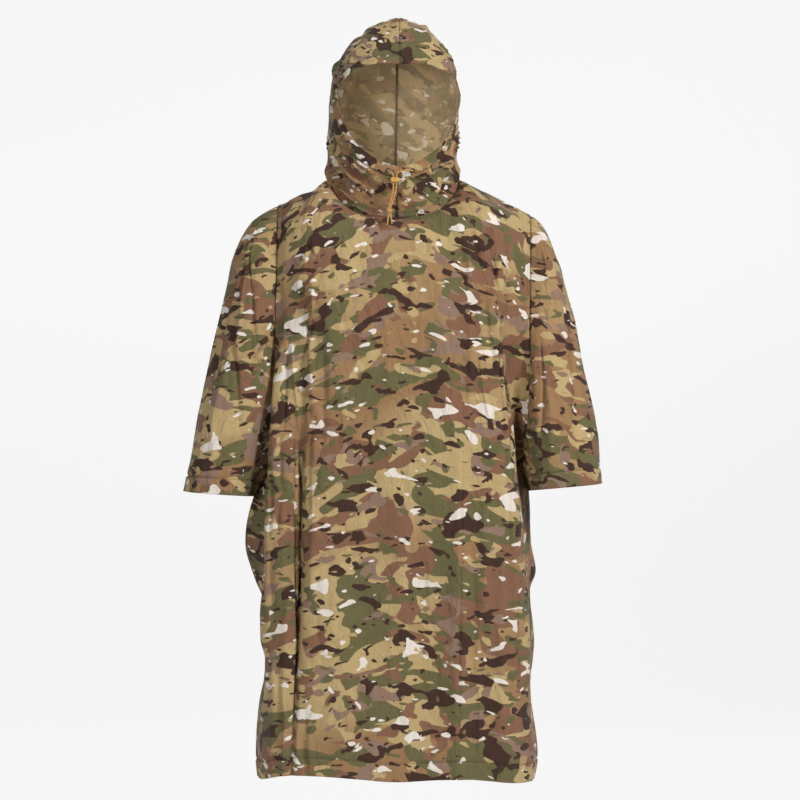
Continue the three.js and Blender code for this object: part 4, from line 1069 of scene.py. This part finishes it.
# Folds as (turn round the hood from the chin, place between neck and face) points, width, depth, sharp
HOOD_CREASES = {
    "right": [
        ([(0.42, 0.55), (0.30, 0.50), (0.12, 0.36)], 0.040, 6.0, False),
        ([(0.50, 0.46), (0.38, 0.40), (0.20, 0.28)], 0.016, 3.0, True),
        ([(0.44, 0.64), (0.32, 0.60), (0.14, 0.46)], 0.014, -2.6, True),
        ([(0.40, 0.26), (0.28, 0.22), (0.12, 0.14)], 0.014, 2.6, True),
        ([(0.62, 0.62), (0.70, 0.56), (0.80, 0.50)], 0.016, 2.4, True),
        ([(0.46, 0.36), (0.34, 0.30), (0.18, 0.20)], 0.036, -5.0, False),
        ([(0.36, 0.72), (0.26, 0.66), (0.10, 0.56)], 0.026, 3.6, True),
        ([(0.52, 0.22), (0.40, 0.18), (0.26, 0.08)], 0.030, 4.0, False),
        ([(0.60, 0.50), (0.66, 0.40), (0.70, 0.24)], 0.036, -3.6, False),
        ([(0.56, 0.90), (0.62, 0.78), (0.66, 0.62)], 0.024, 2.6, False),
        ([(0.78, 0.90), (0.80, 0.74), (0.82, 0.56)], 0.026, -2.4, False),
        ([(0.20, 0.10), (0.14, 0.08), (0.06, 0.05)], 0.022, 2.6, False),
    ],
    "left": [
        ([(0.44, 0.60), (0.34, 0.50), (0.20, 0.30)], 0.036, 5.4, False),
        ([(0.52, 0.50), (0.40, 0.42), (0.26, 0.22)], 0.015, 3.0, True),
        ([(0.38, 0.70), (0.28, 0.58), (0.16, 0.38)], 0.014, -2.6, True),
        ([(0.34, 0.30), (0.24, 0.20), (0.14, 0.10)], 0.014, 2.4, True),
        ([(0.60, 0.74), (0.70, 0.66), (0.82, 0.62)], 0.016, 2.4, True),
        ([(0.40, 0.40), (0.30, 0.32), (0.20, 0.14)], 0.030, -4.6, False),
        ([(0.30, 0.80), (0.22, 0.68), (0.14, 0.48)], 0.024, 3.4, True),
        ([(0.50, 0.24), (0.42, 0.16), (0.34, 0.06)], 0.030, 4.0, False),
        ([(0.60, 0.56), (0.64, 0.42), (0.66, 0.22)], 0.034, -3.2, False),
        ([(0.58, 0.94), (0.66, 0.84), (0.76, 0.80)], 0.022, 3.0, True),
        ([(0.84, 0.92), (0.84, 0.76), (0.86, 0.58)], 0.026, 2.2, False),
        ([(0.12, 0.22), (0.10, 0.12), (0.08, 0.04)], 0.020, 2.4, False),
    ],
}
TURN_MM, RING_MM = 420, 400  # millimetres that a whole turn and the whole way to the face count for
HOOD_RIPPLE = {"depth": 2.6, "seed": 7.0, "across": 22, "down": 40}
HOOD_PLACE = (300, 1500)  # on the printed cloth
# How many millimetres from each edge of the hood its creases, channel and swells fade out
HOOD_FADES = {
    "creases": {"seam": 14, "neck": 14, "chin": 10}, "channel": {"seam": 3, "chin": 3},
    "crown": {"neck": 10, "face": 4}, "neck": {"seam": 8, "chin": 4},
}
PUCKER = {"height": 1.5, "pitch": 0.55, "sway": 2.2, "sways": 17, "fall": 4.2, "band": 16}


def faded(height, edges, reach):
    for edge, distance in reach.items():
        height = height * soft(edges[edge] / distance)
    return height


hoods = {}
for side in SIDES:
    grid = hood_grid(side, **RING)
    normal = normals_of(grid, -SIDES[side])
    to_face = edge_lengths(grid, 0, from_end=True)
    to_neck = edge_lengths(grid, 0)
    to_seam = edge_lengths(grid, 1, from_end=True)
    flat = np.stack([SIDES[side] * to_seam + HOOD_PLACE[0], to_neck + HOOD_PLACE[1]], axis=2)
    turn = np.broadcast_to(np.linspace(0, 1, RING["columns"] + 1), grid.shape[:2])
    at = np.broadcast_to(steps_down(RING["ring_rows"])[:, None], grid.shape[:2])
    lines = [
        ([(t * TURN_MM, a * RING_MM) for t, a in line], width * RING_MM, depth, sharp)
        for line, width, depth, sharp in HOOD_CREASES[side]
    ]
    around, out = turn * TURN_MM, at * RING_MM
    height = creased(lines, around, out) + rippled(around, out, **HOOD_RIPPLE)
    puckers = np.sin(around * PUCKER["pitch"] + PUCKER["sway"] * np.sin(turn * PUCKER["sways"]))
    puckers *= np.exp(-turn * PUCKER["fall"]) * np.exp(-((to_face - CHANNEL) / PUCKER["band"]) ** 2)
    height += PUCKER["height"] * puckers
    edges = {"face": to_face, "neck": to_neck, "seam": to_seam, "chin": edge_lengths(grid, 1)}
    height = faded(height, edges, HOOD_FADES["creases"])
    height += faded(hemmed(to_face, CHANNEL), edges, HOOD_FADES["channel"])
    height += faded(sewn_swell(to_seam), edges, HOOD_FADES["crown"])
    height += faded(sewn_swell(to_neck), edges, HOOD_FADES["neck"])
    grid = grid + normal * height[..., None]
    hoods[side] = (grid, normal, to_face, to_seam)
    cloth_piece(
        f"hood_{side}_cloth", grid, side == "left", flat, [f"hood_{side}"],
        (HOOD_CLOTH, HOOD_LINING),
    )

# %% [markdown]
# Stitches are what tells a sewn hem from a drawn line. One stitch is a short round thread with sunk ends.
# A helper lays such stitches one after the other along a line on the cloth, all in one mesh.

# %% Stitches
STITCH = {"length": 2.5, "pitch": 3.5, "radius": 0.28, "sides": 5}
# Each ring of a stitch: place along it, size, and lift off the cloth
STITCH_RINGS = [(-0.5, 0.3, -0.35), (-0.3, 1.0, 0.25), (0.0, 1.0, 0.45), (0.3, 1.0, 0.25), (0.5, 0.3, -0.35)]
ARMHOLE_LINE, CROWN_LINE = 7.0, 5.0  # how far from a seam its row of stitches runs


def row_on(grid, normal, distance, wanted, span):
    """Points and normals where the cloth is a wanted distance from an edge, one for each column or row."""
    points, directions = [], []
    for k in span:
        ahead = distance[:, k] - wanted
        cross = np.nonzero(np.diff(np.sign(ahead)))[0]
        if not len(cross):
            continue
        j = cross[-1]
        t = ahead[j] / (ahead[j] - ahead[j + 1])
        points.append(mix(grid[j, k], grid[j + 1, k], t))
        directions.append(normal[j, k])
    return np.array(points), np.array(directions)


def stitched(name, lines):
    corners, faces = [], []
    n, last = STITCH["sides"], len(STITCH_RINGS) - 1
    for points, normals in lines:
        run = np.concatenate([[0], np.cumsum(np.linalg.norm(np.diff(points, axis=0), axis=1))])
        for middle in np.arange(STITCH["pitch"], run[-1] - STITCH["pitch"], STITCH["pitch"]):
            centre, up, ends = (
                np.array([np.interp(at, run, source[:, k]) for k in range(3)])
                for at, source in ((middle, points), (middle, normals), (middle + 1, points))
            )
            way = Vector(ends - centre).normalized()
            up = Vector(up).normalized()
            side = way.cross(up).normalized()
            start = len(corners)
            for share, size, lift in STITCH_RINGS:
                ring_centre = Vector(centre) + way * share * STITCH["length"] + up * lift * STITCH["radius"]
                for k in range(n):
                    turn = 2 * math.pi * k / n
                    spoke = side * math.cos(turn) + up * math.sin(turn)
                    corners.append((ring_centre + spoke * STITCH["radius"] * size) * MM)
            for r in range(last):
                for k in range(n):
                    a, b = start + r * n + k, start + r * n + (k + 1) % n
                    faces.append((a, a + n, b + n, b))
            faces.append(tuple(start + k for k in range(n)))
            faces.append(tuple(start + last * n + k for k in reversed(range(n))))
    piece = mesh_piece(name, corners, faces, THREAD)
    work = bmesh.new()
    work.from_mesh(piece.data)
    bmesh.ops.recalc_face_normals(work, faces=work.faces)
    work.to_mesh(piece.data)
    work.free()
    piece.data.shade_smooth()
    take_in(piece, "cloth")
    print(f"{name}: {triangles(piece)} triangles")


def turned(*arrays):
    return [np.swapaxes(array, 0, 1) for array in arrays]


for face, (grid, normal, to_hem, to_side) in body.items():
    lines = [row_on(grid, normal, to_hem, LOWER_HEM, range(6, BODY["columns"] - 5))]
    first_open = BODY["cap_rows"] + BODY["arm_rows"] + 3
    for part in (slice(0, BODY["columns"] // 2), slice(BODY["columns"] // 2, None)):
        half = [array[part] for array in turned(grid, normal, to_side)]
        lines.append(row_on(*half, SIDE_HEM, range(first_open, grid.shape[0] - 4)))
        lines.append(row_on(*half, ARMHOLE_LINE, range(4, first_open - 6)))
    stitched(f"{face}_stitches", lines)
for side in SIDES:
    grid, normal, to_cuff = arms[side]
    stitched(f"cuff_{side}_stitches", [row_on(grid, normal, to_cuff, CUFF_HEM, range(3, ARM["columns"] - 2))])
    grid, normal, to_face, to_seam = hoods[side]
    lines = [row_on(grid, normal, to_face, CHANNEL, range(2, RING["columns"] - 1))]
    lines.append(row_on(*turned(grid, normal, to_seam), CROWN_LINE, range(4, RING["ring_rows"] - 2)))
    stitched(f"hood_{side}_stitches", lines)

# %% [markdown]
# Inside the hood, a dark tape covers the centre seam and keeps the rain out. It is a narrow strip that
# lies on the inside of both halves along the seam.

# %% Seam tape
TAPE_HALF, TAPE_LIFT, TAPE_THICK = 2.2, 0.35, 0.5
below = WALL / MM + TAPE_LIFT
rows = []
for j in range(4, RING["ring_rows"] - 3):
    spots = []
    for grid, normal, _, to_seam in hoods.values():
        share = np.interp(TAPE_HALF, to_seam[j, ::-1], np.arange(to_seam.shape[1]))
        i = grid.shape[1] - 1 - share
        low = int(i)
        spots.append((mix(grid[j, low], grid[j, low + 1], i - low), normal[j, low]))
    right, left = (point - direction * below for point, direction in spots)
    centre = hoods["right"][0][j, -1] - (spots[0][1] + spots[1][1]) / 2 * below
    rows.append([right, mix(right, centre, 0.5), centre, mix(left, centre, 0.5), left])
strip = np.array(rows)
tape = mesh_piece(
    "hood_seam_tape_strip", (strip * MM).reshape(-1, 3), grid_faces(*strip.shape[:2], True), TAPE
)
walled(tape, TAPE_THICK * MM, 0)
tape.data.shade_smooth()
take_in(tape, "tape", "hood_seam_tape")

# %% [markdown]
# The small fittings are made as by hand: a primitive in its place, shaped in edit mode, its edges bevelled,
# and turned onto the cloth. An eyelet is a rolled ring, so it is a torus that is pressed flat, with a short
# barrel through the cloth.

# %% Helpers for fittings
SMOOTH_UNDER = 0.7  # radians
CAP_NORMAL = 0.9  # a cylinder's face that points at least this much along it is a cap
UP, AHEAD = Vector((0, 0, 1)), Vector((0, 1, 0))


def onto(place, towards):
    """Where a piece goes that is made at the origin and points up."""
    return Matrix.Translation(place) @ UP.rotation_difference(towards).to_matrix().to_4x4()


def end_piece(name, material, slot, place, towards, *nodes):
    piece = bpy.context.object
    piece.name = piece.data.name = name
    piece.data.transform(onto(place, towards) @ piece.matrix_basis)
    piece.matrix_basis = Matrix.Identity(4)
    piece.data.materials.clear()
    piece.data.materials.append(material)
    bpy.ops.object.shade_smooth_by_angle(angle=SMOOTH_UNDER)
    return take_in(piece, slot, *nodes)


def squeezed(factor):
    bpy.ops.object.mode_set(mode="EDIT")
    bpy.ops.mesh.select_all(action="SELECT")
    bpy.ops.transform.resize(value=factor)
    bpy.ops.object.mode_set(mode="OBJECT")


def joined(pieces):
    start_piece()
    for piece in pieces:
        piece.select_set(True)
    bpy.context.view_layer.objects.active = pieces[0]
    bpy.ops.object.join()
    return bpy.context.object


def settled():
    bpy.ops.object.transform_apply(location=True, rotation=True, scale=True)
    return bpy.context.object


def torus(major, minor, flat=1.0, height=0.0, around=48, across=12):
    start_piece()
    bpy.ops.mesh.primitive_torus_add(
        major_radius=major * MM, minor_radius=minor * MM, major_segments=around, minor_segments=across
    )
    squeezed((1, 1, flat))
    bpy.context.object.location.z = height * MM
    return settled()


def barrel(outer, inner, low, high, around=48):
    """A short tube: a cylinder whose two caps are inset and bridged through."""
    start_piece()
    bpy.ops.mesh.primitive_cylinder_add(vertices=around, radius=outer * MM, depth=(high - low) * MM)
    bpy.ops.object.mode_set(mode="EDIT")
    bpy.ops.mesh.select_mode(type="FACE")
    bpy.ops.mesh.select_all(action="DESELECT")
    bpy.ops.object.mode_set(mode="OBJECT")
    piece = bpy.context.object
    for face in piece.data.polygons:
        face.select = abs(face.normal.z) > CAP_NORMAL
    bpy.ops.object.mode_set(mode="EDIT")
    bpy.ops.mesh.inset(thickness=(outer - inner) * MM, use_individual=True)
    bpy.ops.mesh.bridge_edge_loops()
    bpy.ops.object.mode_set(mode="OBJECT")
    piece.location.z = (low + high) / 2 * MM
    return settled()


# %% Drawcord eyelets
for side, (point, normal) in STARTS.items():
    joined([torus(3.3, 1.15, 0.62, 1.3), barrel(2.5, 1.9, -0.6, 1.6, 32)])
    end_piece(f"hood_eyelet_{side}_ring", LACQUER, "metal", point, normal, f"hood_eyelet_{side}")

# %% [markdown]
# The cord lock is a small moulded block with two bores, ribs on its front and a round push button at its
# side. Its cube gets rounded edges by a bevel, and the ribs are thin blocks across its face.

# %% Cord lock
LOCK = Vector((0, -120, 26)) * MM
LOCK_SIZE = (15, 9, 9)
LOCK_BORE = {"out": 2.6, "radius": 1.75, "depth": 20}
RIB_SIZE, RIB_Y, RIB_HEIGHTS = (8.4, 0.9, 0.8), -4.55, (-1.8, 0, 1.8)
BUTTON_OUT = 7.7


def rounded_block(size, middle, edge, segments=4):
    start_piece()
    bpy.ops.mesh.primitive_cube_add(size=1)
    piece = bpy.context.object
    piece.scale = [v * MM for v in size]
    piece.location = [v * MM for v in middle]
    settled()
    bpy.ops.object.mode_set(mode="EDIT")
    bpy.ops.mesh.select_all(action="SELECT")
    bpy.ops.mesh.bevel(offset=edge * MM, segments=segments, profile=0.5)
    bpy.ops.object.mode_set(mode="OBJECT")
    return piece


shell = rounded_block(LOCK_SIZE, (0, 0, 0), 2.4)
for across in (-LOCK_BORE["out"], LOCK_BORE["out"]):
    start_piece()
    bpy.ops.mesh.primitive_cylinder_add(
        vertices=24, radius=LOCK_BORE["radius"] * MM, depth=LOCK_BORE["depth"] * MM,
        location=(across * MM, 0, 0),
    )
    bored(shell, bpy.context.object)
ribs = [rounded_block(RIB_SIZE, (0, RIB_Y, height), 0.3, 2) for height in RIB_HEIGHTS]
joined([shell, *ribs])
lock = end_piece("cord_lock_shell", PLASTIC, "lock", LOCK, UP, "cord_lock")
joined([barrel(3.0, 1.0, 0.2, 2.6, 32), torus(2.5, 0.6, 0.9, 2.7), barrel(1.4, 0.4, 0.2, 2.9, 24)])
sideways = Vector((1, 0, 0))
button = end_piece(
    "cord_lock_push_button", PLASTIC, "lock", LOCK + sideways * BUTTON_OUT * MM, sideways, "cord_lock_button"
)

# %% [markdown]
# Below the lock, both strands are tied into one small overhand knot: loops of the same cord that lie
# round each other.

# %% Knot
KNOT = Vector((-9, -119, -27)) * MM
LOOPS = [(0.35, 3.5, 1.2), (-0.45, 3.7, -1.0), (1.25, 2.9, 0.2)]  # lean, size and height of each
LOOP_RADIUS, LOOP_TURN, KNOT_SQUEEZE = 1.25, (0.25, 0.55), (1.12, 0.82, 0.95)
wraps = []
for lean, size, height in LOOPS:
    start_piece()
    bpy.ops.mesh.primitive_torus_add(
        major_radius=size * MM, minor_radius=LOOP_RADIUS * MM, major_segments=40, minor_segments=12,
        location=(0, 0, height * MM), rotation=(LOOP_TURN[0] * lean, LOOP_TURN[1] * lean, 0),
    )
    wraps.append(settled())
joined(wraps)
squeezed(KNOT_SQUEEZE)
knot = end_piece("cord_knot_wraps", BRAID, "cord", KNOT, UP, "cord_knot")
LOOP_LENGTH, LOOP_GIRTH = 0.024, 0.008  # metres of braid along and round a loop
layer = knot.data.uv_layers.active
layer.name = "flat"
for spot in layer.data:
    spot.uv = (spot.uv[0] * LOOP_LENGTH, spot.uv[1] * LOOP_GIRTH)

# %% [markdown]
# One cuff has a big eyelet through its hem, so that the sleeve can be tied down. The cloth gets a real
# hole there, and the eyelet's two rolled rings lie on both sides of it.

# %% Cuff eyelet
CUFF_HOLE = {"radius": 5.2 * MM, "depth": 12 * MM, "before": Vector((0, -60, 0)) * MM}


def middle_of(node):
    low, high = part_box(node)
    return (Vector(low) + Vector(high)) / 2


sleeve = bpy.data.objects["sleeve_right_cloth"]
hit, point, normal, _ = sleeve.ray_cast(middle_of("cuff_eyelet") + CUFF_HOLE["before"], AHEAD)
print("cuff eyelet on the cloth:", hit, [round(v, 3) for v in point])
start_piece()
bpy.ops.mesh.primitive_cylinder_add(vertices=40, radius=CUFF_HOLE["radius"], depth=CUFF_HOLE["depth"])
drill = bpy.context.object
drill.data.transform(onto(point, normal))
bored(sleeve, drill)
joined([torus(5.5, 1.5, 0.55, 0.5), torus(5.5, 1.3, 0.5, -1.3), barrel(5.0, 4.0, -1.6, 0.8)])
end_piece("cuff_eyelet_ring", LACQUER, "metal", point, normal, "cuff_eyelet")

# %% [markdown]
# The press studs at the sides are low caps with a rolled edge and a dimple in the middle.

# %% Press studs
STUD = {"radius": 4.3 * MM, "flat": 0.42, "beside": 0.08}
front_cloth = bpy.data.objects["front_cloth"]
for side, outside in SIDES.items():
    outwards = Vector((outside, 0, 0))
    for node in (f"side_stud_{side}_1", f"side_stud_{side}_2"):
        hit, point, normal, _ = front_cloth.ray_cast(middle_of(node) + outwards * STUD["beside"], -outwards)
        start_piece()
        bpy.ops.mesh.primitive_uv_sphere_add(segments=40, ring_count=20, radius=STUD["radius"])
        squeezed((1, 1, STUD["flat"]))
        joined([settled(), torus(4.5, 0.9, 0.8, 0.3), torus(1.7, 0.35, 0.8, 1.75, 32, 8)])
        end_piece(f"{node}_cap", LACQUER, "metal", point, normal, node)
        print(node, "on the cloth:", hit)

# %% [markdown]
# The backdrop is one long pale sweep that glows a little, so that it stays even. Its wall stands well behind,
# and the poncho can be looked at from all round. The light is soft: it comes from the front, a little
# stronger from the wearer's left.

# %% Backdrop and light
FLOOR_Z, WALL_Y, CURVE = -1.45, 5.8, 1.6
SWEEP = {"length": 12, "start": -0.8, "width": 14}
PAPER, PAPER_GLOW, ROOM_LIGHT = 0.3, 0.735, 0.09
STRAIGHT, ARC = WALL_Y - CURVE, CURVE * math.pi / 2


def sweep_place(run):
    if run < STRAIGHT:
        return run, FLOOR_Z
    if run < STRAIGHT + ARC:
        angle = (run - STRAIGHT) / CURVE
        return STRAIGHT + CURVE * math.sin(angle), FLOOR_Z + CURVE * (1 - math.cos(angle))
    return WALL_Y, FLOOR_Z + CURVE + run - STRAIGHT - ARC


start_piece()
bpy.ops.mesh.primitive_grid_add(x_subdivisions=2, y_subdivisions=60, size=1)
sweep = bpy.context.object
sweep.name = "backdrop"
for vertex in sweep.data.vertices:
    run = (vertex.co.y + 0.5) * SWEEP["length"] + SWEEP["start"]
    vertex.co = (vertex.co.x * SWEEP["width"], *sweep_place(run))
sweep.data.shade_smooth()
paper, _, paper_shader = finish("pale_paper", 0.9)
paper_shader.inputs["Base Color"].default_value = (PAPER, PAPER, PAPER, 1)
paper_shader.inputs["Emission Color"].default_value = (1, 1, 1, 1)
paper_shader.inputs["Emission Strength"].default_value = PAPER_GLOW
sweep.data.materials.append(paper)


def soft_light(name, place, size, power, aim=(0, 0, -0.4)):
    light = bpy.data.lights.new(name, "AREA")
    light.shape, light.size, light.energy = "SQUARE", size, power
    lamp = bpy.data.objects.new(name, light)
    lamp.location = place
    lamp.rotation_euler = (Vector(aim) - Vector(place)).to_track_quat("-Z", "Y").to_euler()
    bpy.context.scene.collection.objects.link(lamp)


soft_light("key", (2.4, -2.5, 1.5), 0.8, 158)
soft_light("fill", (-1.3, -4.3, 0.2), 1.0, 112, (0, 0, -0.2))
soft_light("top", (-0.6, -0.6, 3.0), 1.0, 16)

world = bpy.data.worlds.new("studio")
world.use_nodes = True
world.node_tree.nodes["Background"].inputs["Color"].default_value = (1, 1, 1, 1)
world.node_tree.nodes["Background"].inputs["Strength"].default_value = ROOM_LIGHT
bpy.context.scene.world = world
bpy.context.scene.view_settings.view_transform = "Standard"
